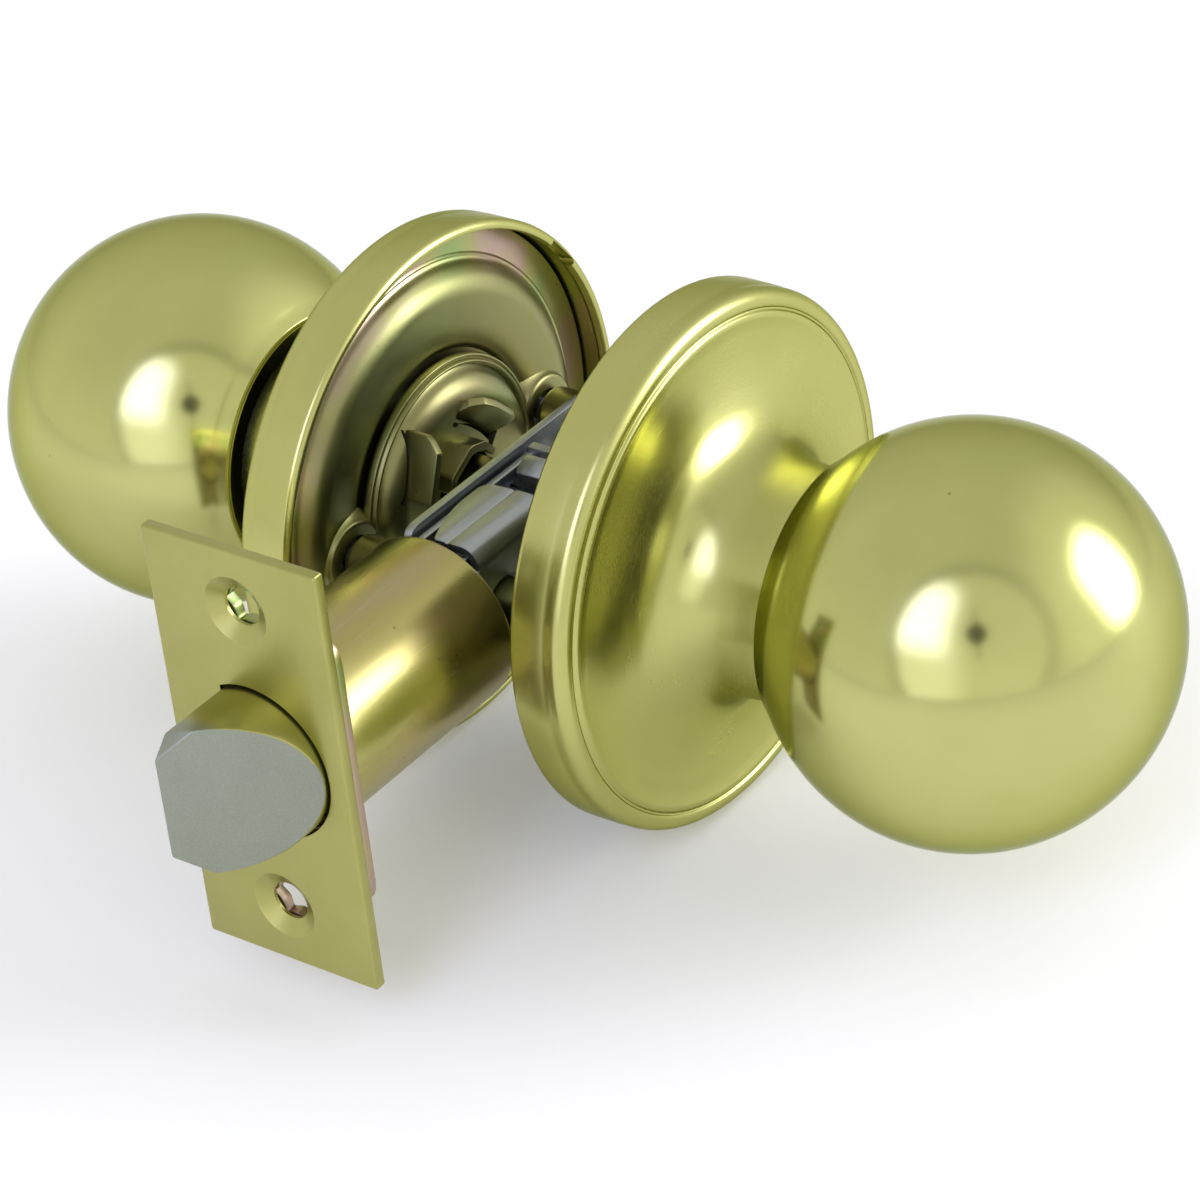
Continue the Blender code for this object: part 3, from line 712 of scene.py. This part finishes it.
def cut_pry_notch(cover):
    """The notch in the lip for the blade that pries the inside cover off."""
    depth, half_width, angle, reach = 1.9, 3.0, 38.0, ROSE_RADIUS - 0.6
    notch = prism("cutter", softened(box_outline((30.0, -half_width), (reach, half_width)), 0.4), "Y",
                  DOOR_FACE - 1, DOOR_FACE + depth, turn=angle)
    return cut(cover, notch)


def rose_bushing():
    """The plain bearing in the rose's neck that the shank turns in."""
    low, high = BUSHING
    section = softened([(low, 9.3), (low, 13.4), (high, 13.4), (high, 9.3)], 0.4)
    return turned("inside_neck_bushing", section, steps=MEDIUM)


def mounting_plate():
    """The dished plate: flat rim, a small sharp step, the dome's shoulder and its slope down to the cap."""
    rim, recess, crest, edge = 20.9, 19.5, 17.9, PLATE_RADIUS + 0.5
    front = [(recess, 9.5), (recess, 16.8)]
    dome = shifted(crest, [(0.5, 19.2), (0.22, 21.0), (0.02, 23.6), (0.1, 25.0), (0.7, 26.4), (1.7, 27.5),
                           (2.5, 28.1), (2.75, 28.5)])
    front += curve_through([(recess - 0.05, 17.1), (recess - 0.7, 17.9)] + dome, 5)
    front += [(crest + 2.7, 28.8), (rim - 0.2, 28.95), (rim - 0.05, 29.1), (rim, 29.6), (rim, edge)]
    back = [(recess + 1, 9.5), (recess + 1, 17.2)]
    dome = shifted(crest, [(1.4, 19.6), (1.15, 22.0), (1.1, 24.0), (1.5, 25.8), (2.6, 26.9), (3.8, 27.6)])
    back += curve_through([(recess + 0.5, 18.0)] + dome + [(rim + 0.8, 28.4)], 3)
    back += [(rim + 1, 29.2), (rim + 1, edge)]
    plate = turned("inside_plate_dish", sheet_section(front, back))
    face, base = 17.2, crest + 0.9
    ring = softened([(base, 0), (base, 6.2), (base - 0.9, 5.1), (face, 4.85), (face, 0)],
                    [0, 0, 0.7, 0.45, 0], closed=False)
    for x in (-POST_X, POST_X):
        add(plate, turned("collar", ring, closed=False, steps=47, centre=(x, 0, 0)))
        cut(plate, hole(3.1, face - 2, 24, centre=(x, 0, 0)))
    return plate


class Fold:
    """Where a tab is bent out of the hub cap: the middle of the fold as (x, z), its direction along
    the face, and the direction away from the spindle."""

    def __init__(self, radius, angle, direction):
        place, heading = math.radians(angle), math.radians(direction)
        self.middle = Vector((radius * math.cos(place), radius * math.sin(place)))
        self.along = Vector((math.cos(heading), math.sin(heading)))
        self.outward = Vector((self.along.y, -self.along.x))
        if self.outward.dot(self.middle) < 0:
            self.outward.negate()

    def tab(self, outline, lean, level, thickness=1.15):
        """The tab: outline holds (place along the fold, height), lean tips it away from the spindle."""
        plate = prism("tab", outline, "Z", -thickness / 2, thickness / 2, soft=0.14)
        tilt = math.radians(lean)
        along = Vector((self.along.x, 0, self.along.y))
        outward = Vector((self.outward.x, 0, self.outward.y))
        height = Vector((0, -1, 0)) * math.cos(tilt) + outward * math.sin(tilt)
        turn = Matrix((along, height, along.cross(height))).transposed().to_4x4()
        middle = Vector((self.middle.x, level, self.middle.y))
        plate.data.transform(Matrix.Translation(middle * MM) @ turn)
        return plate

    def slot(self, outline, level):
        """A cutter through the face: outline holds (place along the fold, distance outward)."""
        points = [tuple(self.middle + self.along * u + self.outward * v) for u, v in outline]
        return prism("cutter", points, "Y", level - 1.5, level + 2.6)


def hub_cap():
    """The cap over the shank's end: a flat face in a round shoulder, a doubled rim, four lanced tabs
    with their slots, and the arched bridge that keeps the spindle in.  level is where its face lies."""
    level = 15.4
    shoulder = shifted(level, [(0, 7.2), (0, 10.8), (0.06, 12.1), (0.4, 13.2), (1.1, 14.2), (1.9, 14.8),
                               (2.2, 15.1)])
    crimp = shifted(level, [(2.35, 15.35), (1.75, 15.6), (1.7, 15.95), (2.35, 16.15), (2.1, 16.35),
                            (2.1, 16.7), (3.0, 16.85)])
    face = [(level, 5.2)] + curve_through(shoulder, 5) + softened(crimp, 0.14, closed=False, steps=3)
    back = shifted(level, [(1, 5.2), (1, 11.4), (1.5, 12.6), (2.4, 13.6), (3.1, 14.6), (3.4, 15.6),
                           (3.4, 16.5)])
    cap = turned("inside_cap_dome", sheet_section(face, back), steps=104)
    upright = [(-4.2, -1.4), (4.3, -1.4), (4.3, 1.9), (3.8, 2.7), (2.4, 3.9), (-4.2, 3.9)]
    leaning = [(-4.4, -1.4), (4.6, -1.4), (4.6, 1.8), (3.8, 3.2), (-0.8, 3.3), (-3.0, 2.8), (-4.4, 1.2)]
    thin_slot = [(-4.9, 0.5), (4.2, 0.5), (4.2, 0.75), (-3.6, 0.85), (-4.9, 1.3)]
    wide_slot = [(-4.7, -2.7), (-3.9, -2.7), (-3.5, -2.0), (-1.2, -1.7), (1.4, -1.7), (3.8, -2.1),
                 (4.4, -2.9), (5.0, -2.7), (4.9, -0.5), (-4.7, -0.5)]
    for turn in (0, 180):
        left = Fold(12.4, 139 + turn, 68 + turn)
        right = Fold(9.1, 63 + turn, -44 + turn)
        cut(cap, left.slot(thin_slot, level), right.slot(wide_slot, level))
        add(cap, left.tab(upright, 0, level + 0.1), right.tab(leaning, 38, level + 0.1))
    bridge = softened([(-6.6, 3.0), (-6.1, 5.3), (-1.7, 7.7), (1.2, 7.0), (3.1, 4.7), (2.3, 4.2), (0.8, 5.9),
                       (-1.6, 6.5), (-5.2, 4.6), (-5.7, 3.0)], 0.6)
    return joined(cap, prism("bridge", bridge, "Y", level - 3.2, level + 0.5, soft=0.12))


def return_spring():
    """The coil round the shank that brings the knob back."""
    return coil("inside_return_coil", 10.9, 0.6, 23.6, 28.0, 3, "Y")


def screw_post(name, x):
    """A threaded post riveted to the outside plate; its open end faces the inside plate."""
    rivet_end, shoulder = POST
    seat = -(shoulder + GAP + 1.7 + GAP)
    line = [(rivet_end, 0), (rivet_end, 2.4), (rivet_end + 0.5, 3.1), (seat, 3.2), (seat, 1.9),
            (-shoulder, 1.9), (-shoulder, 3.0), (-shoulder + 0.6, 3.6), (shoulder - 0.8, 3.6),
            (shoulder, 2.8), (shoulder, 2.4), (shoulder - 0.5, 1.95), (shoulder - 14, 1.95),
            (shoulder - 14, 0)]
    radii = [0, 0.5, 0.5, 0.2, 0.1, 0.1, 0.2, 0.5, 0.4, 0.3, 0.15, 0.1, 0.1, 0]
    return turned(name, softened(line, radii, closed=False, steps=3), closed=False, steps=SMALL,
                  centre=(x, 0, 0))


def mounting_screw(name, x):
    """A machine screw with rolled threads, a round head and a crossed recess."""
    tip, top = SCREW
    under = top - 2.4
    pitch, crest, root = 0.7, 1.6, 1.25
    line = [(tip, 0), (tip, root - 0.3), (tip + 0.4, root)]
    turns = int((under - tip - 1.2) / pitch)
    for i in range(turns):
        start = tip + 0.5 + i * pitch
        line += [(start, root), (start + pitch * 0.4, crest), (start + pitch * 0.6, crest)]
    line += shifted(under, [(-0.2, root), (0, crest), (0, 3.5), (0.5, 3.5), (1.0, 3.4), (1.7, 2.7),
                            (2.2, 1.6)])
    line += [(top, 0.8), (top, 0)]
    screw = turned(name, line, closed=False, steps=SMALL, centre=(x, 0, 0))
    for turn in (0, 90):
        slot = prism("cutter", rounded_box(1.9, 0.45, 0.2), "Y", under + 1.0, top + 1, turn=turn)
        slot.data.transform(Matrix.Translation((x * MM, 0, 0)))
        cut(screw, slot)
    return screw


# ---------------------------------------------------------------- latch

def bolt_outline(radius, flat, steps=72):
    """A circle cut flat on its inside-knob side, as (y, z)."""
    half = math.degrees(math.acos(flat / radius))
    return arc((0, 0), radius, half, 360 - half, steps)


def faceplate():
    """The stamped plate on the door's edge, with rolled-over edges and two countersunk holes."""
    front, back = FACE
    outline = rounded_box(FACE_HALF_WIDTH, FACE_HALF_HEIGHT, 0.35, 3)
    plate = bevel(prism("faceplate_stamping", outline, "X", front, back), 0.4, 4, 60)
    opening = bolt_outline(BOLT_RADIUS + 0.4, BOLT_FLAT + 0.4)
    cut(plate, prism("cutter", opening, "X", front - 1, back + 1))
    for z in (-FACE_SCREW_Z, FACE_SCREW_Z):
        cone = [(front - 1, 0), (front - 1, 4.9), (front - 0.03, 4.5), (front + 0.14, 4.25),
                (front + 1.2, 2.5), (back + 1, 2.4), (back + 1, 0)]
        countersink = turned("cutter", cone, "X", closed=False, steps=MEDIUM, centre=(0, 0, z))
        cut(plate, countersink)
    return plate


def star_hole(z):
    """A cutter for the six-pointed clearance hole behind each countersink."""
    points = []
    for i in range(12):
        radius = 3.1 if i % 2 == 0 else 2.1
        angle = math.radians(i * 30)
        points.append((radius * math.cos(angle), z + radius * math.sin(angle)))
    return prism("cutter", softened(points, 0.4, steps=2), "X", BACKING[0] - 1, BACKING[1] + 1)


def backing_plate():
    """The stepped plate behind the faceplate that the tube is fixed to."""
    plate = prism("backing_plate_stamping", rounded_box(12.0, 18.5, 3.6), "X", *BACKING)
    add(plate, prism("ears", rounded_box(6.5, 25.6, 3.6), "X", *BACKING))
    opening = arc((0, 0), BOLT_RADIUS + 0.4, 0, 355, 71)
    cut(plate, prism("cutter", opening, "X", BACKING[0] - 1, BACKING[1] + 1))
    for z in (-FACE_SCREW_Z, FACE_SCREW_Z):
        cut(plate, star_hole(z))
    return bevel(plate, 0.2, 2)


def latch_tube():
    """The drawn tube that guides the bolt, with a rounded rear lip."""
    low, high = TUBE
    bore = TUBE_RADIUS - 1.0
    section = [(low, bore), (low, TUBE_RADIUS), (high - 0.2, TUBE_RADIUS), (high, TUBE_RADIUS - 0.3),
               (high, bore)]
    section = softened(section, [0.2, 0.35, 0.8, 0.3, 0.25])
    dense = []
    for (a, r), (b, s) in zip(section, section[1:] + section[:1]):
        cuts = max(1, int(abs(b - a) / 3.0))
        dense += [(a + (b - a) * i / cuts, r + (s - r) * i / cuts) for i in range(cuts)]
    return turned("latch_tube_shell", dense, "X", steps=128)


def latch_bolt():
    """The spring bolt: plated sides, and a ground bevel that faces the outside knob."""
    tip, rear = BOLT_SPAN
    bolt = prism("latch_bolt_body", bolt_outline(BOLT_RADIUS, BOLT_FLAT), "X", tip, rear)
    slope = (BEVEL_END - tip) / (BOLT_FLAT + BOLT_RADIUS)
    wedge = [(tip - 3, BOLT_FLAT + 1), (tip - slope, BOLT_FLAT + 1), (BEVEL_END + slope, -BOLT_RADIUS - 1),
             (tip - 3, -BOLT_RADIUS - 1)]
    cut(bolt, prism("cutter", wedge, "Z", -12, 12))
    for sign in (-1, 1):
        corner = [(tip - 1, sign * 5.7), (tip - 1, sign * 11), (tip + 4.3, sign * 11)]
        cut(bolt, prism("cutter", corner, "Y", -12, 12))
    return bevel(bolt, 0.22, 3, 30)


def grind_bevel(bolt):
    """Gives the bevel and the corners cut at the tip their ground finish."""
    bolt.data.materials.append(FINISHES["ground_steel"])
    tip = BOLT_SPAN[0]
    normal = Vector((-(BOLT_FLAT + BOLT_RADIUS), tip - BEVEL_END, 0)).normalized()
    for face in bolt.data.polygons:
        corner = face.center.x < (tip + 3.6) * MM and abs(face.normal.z) > 0.3 and abs(face.normal.x) > 0.4
        if face.normal.dot(normal) > 0.9 or corner:
            face.material_index = 1


def retractor():
    """The frame behind the bolt: a base, four rails past the hub and a lip for each hub arm."""
    start, end = RETRACTOR
    base_end = start + 1.2
    lip_start = end - 1.3
    outside, inside, low, high = 4.2, 3.2, 6.8, 8.6
    frame_piece = prism("retractor_frame", rounded_box(outside, high, 0.6), "X", start, base_end)
    for up in (-1, 1):
        for across in (-1, 1):
            y = sorted((across * inside, across * outside))
            z = sorted((up * low, up * high))
            rail = prism("rail", softened(box_outline((y[0], z[0]), (y[1], z[1])), 0.2, steps=2), "X",
                         start + 0.1, end - 0.05)
            add(frame_piece, rail)
        z = sorted((up * low, up * (high + 0.8)))
        outline = softened(box_outline((-outside, z[0]), (outside, z[1])), 0.5)
        add(frame_piece, prism("lip", outline, "X", lip_start, end))
    return bevel(frame_piece, 0.12, 2)


def spring_guide():
    """The pin inside the latch spring."""
    low, high = GUIDE
    line = softened([(low, 0), (low, 1.5), (high - 0.6, 1.5), (high, 0.9), (high, 0)], 0.25, closed=False)
    return turned("spring_guide_pin", line, "X", closed=False, steps=SMALL)


def latch_spring():
    """The compression spring that pushes the bolt out."""
    wire = 0.45
    start = RETRACTOR[0] + 1.2 + wire + GAP
    return coil("latch_spring_coil", 3.3, wire, start, SEAT[0] - wire - GAP, 8, "X")


def case_outline(top_cut=None):
    """A side plate as (x, z): a tongue inside the tube and a tall part behind it.  top_cut is the
    (start, end, height) of the stretch where a flap is folded over instead."""
    tall, tongue, step = CASE_HALF_HEIGHT, 7.2, -23.5
    upper = [(CASE[0], tongue), (step, tongue)]
    radii = [0.6, 0.4]
    if top_cut:
        start, end, height = top_cut
        upper += [(start, height), (end, height), (end, tall)]
        radii += [0.0, 0.0, 0.8]
    else:
        upper += [(step, tall)]
        radii += [2.2]
    upper += [(CASE[1], tall)]
    radii += [3.4]
    return softened(upper + [(x, -z) for x, z in upper[::-1]], radii + radii[::-1])


def case_side(name, low, high, outline):
    """A side plate of the latch case, with its hub hole and a hole for the front post."""
    plate = prism(name, outline, "Y", low, high)
    for x, radius in ((0, 6.8), (-POST_X, 4.1)):
        cut(plate, hole(radius, low - 1, high + 1, centre=(x, 0, 0)))
    return plate


def case_inner_side():
    """The flat side plate next to the inside knob."""
    low, high = CASE_WALLS
    return bevel(case_side("case_inner_plate", low, high, case_outline()), 0.2, 3)


def case_outer_side():
    """The side plate next to the outside knob, with a flap bent over the retractor above and below."""
    high, low = -CASE_WALLS[0], -CASE_WALLS[1]
    start, end, bend_low = -24.2, -10.6, 6.6
    plate = case_side("case_outer_plate", low, high, case_outline((start, end, bend_low + 0.4)))
    top, bend, wall = 10.0, 2.6, 1.0
    ridge = [(-1.7, top - 0.02), (-1.3, top - 0.22), (-0.9, top - 0.02)]
    for up in (-1, 1):
        line = [(low, bend_low)] + arc((low + bend, top - bend), bend, 180, 90, 10) + ridge + [(3.1, top)]
        under = [(low + wall, bend_low)] + arc((low + bend, top - bend), bend - wall, 180, 90, 6)
        section = sheet_section(line, under + [(3.1, top - wall)])
        flap = prism("flap", [(y, up * z) for y, z in section], "X", start, end)
        plan = softened([(start, low - 1), (end, low - 1), (end, -1.5), (end - 0.3, 2.2), (end - 1.6, 3.1),
                         (end - 4.4, 3.1), (end - 7.8, 2.6), (end - 11.0, 1.7), (start, 0.6)],
                        [0, 0.5, 0.5, 0.8, 0.8, 1.0, 1.0, 1.0, 0.5])
        combine(flap, "INTERSECT", prism("plan", plan, "Z", *sorted((up * (bend_low - 1), up * (top + 1)))))
        add(plate, flap)
    return bevel(plate, 0.16, 2, 40)


def case_spacer(name, z):
    """A round spacer that holds the two side plates apart."""
    half = CASE_WALLS[0] - GAP
    line = softened([(-half, 0), (-half, 1.6), (half, 1.6), (half, 0)], 0.2, closed=False)
    return turned(name, line, closed=False, steps=SMALL, centre=(SPACER_X, 0, z))


def spring_seat():
    """The plate across the case that the latch spring pushes against."""
    low, high = SEAT
    half = CASE_WALLS[0] - GAP
    seat = prism("spring_seat_plate", rounded_box(half, 6.4, 0.8), "X", low, high)
    cut(seat, hole(2.0, low - 1, high + 1, "X"))
    return bevel(seat, 0.15, 2)


def latch_hub():
    """The square-holed hub in the latch, with one arm for each direction of turning."""
    section = softened([(-HUB_HALF, 0), (-HUB_HALF, 6.4), (HUB_HALF, 6.4), (HUB_HALF, 0)], 0.5, closed=False)
    hub = turned("latch_hub_cam", section, closed=False, steps=MEDIUM)
    for angle in (114, 246):
        arm = [(3.0, -1.6), (10.0, -1.6), (10.4, -0.6), (10.4, 0.6), (10.0, 1.6), (3.0, 1.6)]
        add(hub, prism("arm", softened(arm, 0.4), "Y", -2.5, 2.5, turn=angle))
    return bevel(cut(hub, square_cutter()), 0.15, 2)


# ---------------------------------------------------------------- assembly

def dress_knobs_and_roses():
    """Every piece that comes once for each side of the door, and what is in only one knob."""
    for build, node, finish in ((knob_ball, "knob_ball", "polished_brass"),
                                (knob_insert, "knob_insert", "yellow_chromate"),
                                (knob_shank, "knob_shank", "yellow_chromate"),
                                (spindle_driver, "spindle_driver", "bright_zinc"),
                                (retaining_ring, "retaining_ring", "spring_steel")):
        inside = build()
        stand_for(twin(inside), "outside_" + node, OUTSIDE_KNOB, finish)
        stand_for(inside, "inside_" + node, INSIDE_KNOB, finish)
    for build, node, finish in ((rose_bushing, "rose_bushing", "nylon"),
                                (mounting_plate, "mounting_plate", "yellow_chromate"),
                                (hub_cap, "hub_cap", "yellow_chromate"),
                                (return_spring, "return_spring", "spring_steel")):
        inside = build()
        stand_for(twin(inside), "outside_" + node, HOUSING, finish)
        stand_for(inside, "inside_" + node, HOUSING, finish)
    cover = rose_cover()
    stand_for(twin(cover), "outside_rose_cover", HOUSING, "spun_brass")
    stand_for(cut_pry_notch(cover), "inside_rose_cover", HOUSING, "spun_brass")
    stand_for(knob_catch(), "knob_catch", INSIDE_KNOB, "spring_steel")
    stand_for(spindle(), "spindle", OUTSIDE_KNOB, "yellow_chromate")


def dress_fasteners():
    """The posts and screws that pull the roses together."""
    for label, x in (("front", -POST_X), ("rear", POST_X)):
        post, screw = screw_post(label + "_post_turned", x), mounting_screw(label + "_machine_screw", x)
        stand_for(post, label + "_screw_post", HOUSING, "yellow_chromate")
        stand_for(screw, label + "_mounting_screw", HOUSING, "bright_zinc")


def dress_latch():
    """The tubular latch."""
    stand_for(faceplate(), "latch_faceplate", HOUSING, "satin_brass")
    stand_for(backing_plate(), "latch_backing_plate", HOUSING, "yellow_chromate")
    stand_for(latch_tube(), "latch_tube", HOUSING, "bright_chromate")
    stand_for(case_inner_side(), "latch_case_inner_side", HOUSING, "bright_zinc")
    stand_for(case_outer_side(), "latch_case_outer_side", HOUSING, "bright_zinc")
    for label, z in (("upper", SPACER_Z), ("lower", -SPACER_Z)):
        spacer = case_spacer("case_%s_rivet" % label, z)
        stand_for(spacer, "latch_case_%s_spacer" % label, HOUSING, "bright_zinc")
    stand_for(spring_seat(), "latch_spring_seat", HOUSING, "bright_zinc")
    stand_for(latch_hub(), "latch_hub", CAM, "bright_zinc")
    grind_bevel(stand_for(latch_bolt(), "latch_bolt", BOLT, "satin_brass"))
    stand_for(retractor(), "latch_retractor", BOLT, "bright_zinc")
    stand_for(spring_guide(), "latch_spring_guide", BOLT, "bright_zinc")
    spring = stand_for(latch_spring(), "latch_spring", HOUSING, "spring_steel")
    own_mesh(spring)


# ---------------------------------------------------------------- studio

CAMERA_AZIMUTH = -50.94
CAMERA_ELEVATION = 32.27
CAMERA_ROLL = -6.56
CAMERA_PLACE = (-0.36345, -0.29894, 0.28430)
CAMERA_LENS = 133.18


def camera_axes():
    """Right, up and back of the camera, as it stands for the main view."""
    azimuth, elevation, roll = (math.radians(a) for a in (CAMERA_AZIMUTH, CAMERA_ELEVATION, CAMERA_ROLL))
    back = Vector((math.sin(azimuth) * math.cos(elevation), -math.cos(azimuth) * math.cos(elevation),
                   math.sin(elevation)))
    level = Vector((math.cos(azimuth), math.sin(azimuth), 0))
    upright = back.cross(level)
    right = level * math.cos(roll) + upright * math.sin(roll)
    return right, back.cross(right), back


def place_camera():
    """The camera at the studio's viewing angle."""
    data = bpy.data.cameras.new("studio_camera")
    data.lens = CAMERA_LENS
    data.sensor_width = 36
    data.clip_start = 0.01
    data.clip_end = 50
    camera = bpy.data.objects.new("studio_camera", data)
    bpy.context.scene.collection.objects.link(camera)
    turn = Matrix(camera_axes()).transposed().to_4x4()
    camera.matrix_world = Matrix.Translation(CAMERA_PLACE) @ turn
    bpy.context.scene.camera = camera


def softbox(sky, facing, half_width, half_height, blur, strength):
    """A soft-edged rectangle of light far away, or of shade where strength is negative: facing is its
    middle, and its half sizes and blur are tangents of angles."""
    facing = Vector(facing).normalized()
    side = Vector((0, 0, 1)).cross(facing).normalized()
    top = facing.cross(side)
    ahead = sky.vector("DOT_PRODUCT", sky.place, facing)
    mask = sky.spread(ahead, 0.0, 0.02, 0.0, strength)
    for axis, half in ((side, half_width), (top, half_height)):
        along = sky.vector("DOT_PRODUCT", sky.place, axis)
        share = sky.math("ABSOLUTE", sky.math("DIVIDE", along, ahead))
        edge = sky.spread(share, half - blur, half + blur, 1.0, 0.0, "SMOOTHERSTEP")
        mask = sky.math("MULTIPLY", mask, edge)
    return mask


class Sky(Surface):
    """The studio's surroundings, built with the same node helpers as a material."""

    def __init__(self, name):
        world = bpy.data.worlds.new(name)
        world.use_nodes = True
        bpy.context.scene.world = world
        self.tree = world.node_tree
        self.background = self.tree.nodes["Background"]
        self.place = self.tree.nodes.new("ShaderNodeTexCoord").outputs["Generated"]


def toward(across, upward):
    """The direction that lies so many degrees to the right of the camera and above its axis, as seen
    from the object."""
    right, up, back = camera_axes()
    across, upward = math.radians(across), math.radians(upward)
    return (right * math.sin(across) + back * math.cos(across)) * math.cos(upward) + up * math.sin(upward)


def glow(sky, facing, inner, outer, strength):
    """A round soft light: full inside the inner angle and none outside the outer one, in degrees."""
    ahead = sky.vector("DOT_PRODUCT", sky.place, toward(*facing))
    limits = (math.cos(math.radians(outer)), math.cos(math.radians(inner)))
    return sky.spread(ahead, *limits, 0.0, strength, "SMOOTHERSTEP")


def light_studio():
    """A pale tent with a dim ceiling and a dim far side, the brighter opening that the camera looks
    through, the dark camera on its stand, a cool key light on the right and two bluer panels in the left
    half of the opening, one above the other."""
    sky = Sky("studio_tent")
    height = sky.vector("DOT_PRODUCT", sky.place, (0, 0, 1))
    far = sky.vector("DOT_PRODUCT", sky.place, toward(160, 0))
    tent = sky.math("MULTIPLY", sky.spread(height, 0.1, 0.85, 0.96, 0.78),
                    sky.spread(far, -0.2, 0.8, 1.0, 0.7))
    middle = (-2, -9)
    for facing, inner, outer, strength in (
            ((80, 22), 5, 58, 0.35),                  # the tent's cloth lit round the key
            (middle, 36, 42, 0.30),                   # the opening
            (middle, 42, 50, -0.18),                  # and its darker frame
            ((0, 0), 3.2, 6.5, -1.2)):                # the camera
        tent = sky.math("ADD", tent, glow(sky, facing, inner, outer, strength))
    stand = softbox(sky, toward(0, 0), 0.02, 0.24, 0.03, -0.4)
    channels = [sky.math("ADD", tent, stand)] * 3
    inside = glow(sky, middle, 38, 44, 1.0)
    for facing, half_width, half_height, blur, strength, blue, mask in (
            ((80, 22), 0.21, 0.29, 0.24, 9.0, 1.2, glow(sky, (80, 23), 14, 27, 1.0)),
            ((-29, 10), 0.27, 0.30, 0.18, 2.3, 2.0, inside),
            ((-28, -24), 0.30, 0.42, 0.22, 0.5, 1.6, inside)):
        lamp = softbox(sky, toward(*facing), half_width, half_height, blur, strength)
        lamp = sky.math("MULTIPLY", lamp, mask)
        for i, share in enumerate((1.0, 1.0, blue)):
            channels[i] = sky.math("ADD", channels[i], sky.math("MULTIPLY", lamp, share))
    merge = sky.tree.nodes.new("ShaderNodeCombineXYZ")
    for channel, socket in zip(channels, merge.inputs):
        sky.put(sky.math("MAXIMUM", channel, 0.0), socket)
    sky.put(merge.outputs[0], sky.background.inputs["Color"])
    bpy.context.scene.view_settings.view_transform = "Standard"


def lay_floor():
    """A pale table just under the roses, with a faint glow of its own that is painted light lifting the
    shade under them, and painted shade that turns it greyer away from them.
    """
    half = 3.0
    level = cad_box[0].z - 0.0003
    bm = bmesh.new()
    bmesh.ops.create_circle(bm, cap_ends=True, radius=half, segments=96)
    bmesh.ops.translate(bm, verts=bm.verts[:], vec=(0, 0, level))
    mesh = bpy.data.meshes.new("studio_floor")
    bm.to_mesh(mesh)
    bm.free()
    floor = make_object("studio_floor", mesh)
    surface = Surface("pale_floor_painted_glow_and_shade", 0.0, 0.7)
    away = surface.vector("LENGTH", surface.place, (0, 0, 0))
    # Painted shade: the floor's colour greys with distance from the object, standing in for the tent's light
    # falling off.
    tone = surface.ramp(surface.spread(away, 0.2, 0.8, 0.0, 1.0), (0.0, (0.84, 0.84, 0.80)),
                        (1.0, (0.64, 0.64, 0.61)))
    # Painted light: the floor glows faintly in its own colour, lightening the shadows under the object and
    # its undersides.
    surface.put(tone, surface.shader.inputs["Emission Color"])
    surface.shader.inputs["Emission Strength"].default_value = 0.16
    mesh.materials.append(surface.finish(tone))


dress_knobs_and_roses()
dress_fasteners()
dress_latch()
place_camera()
light_studio()
lay_floor()
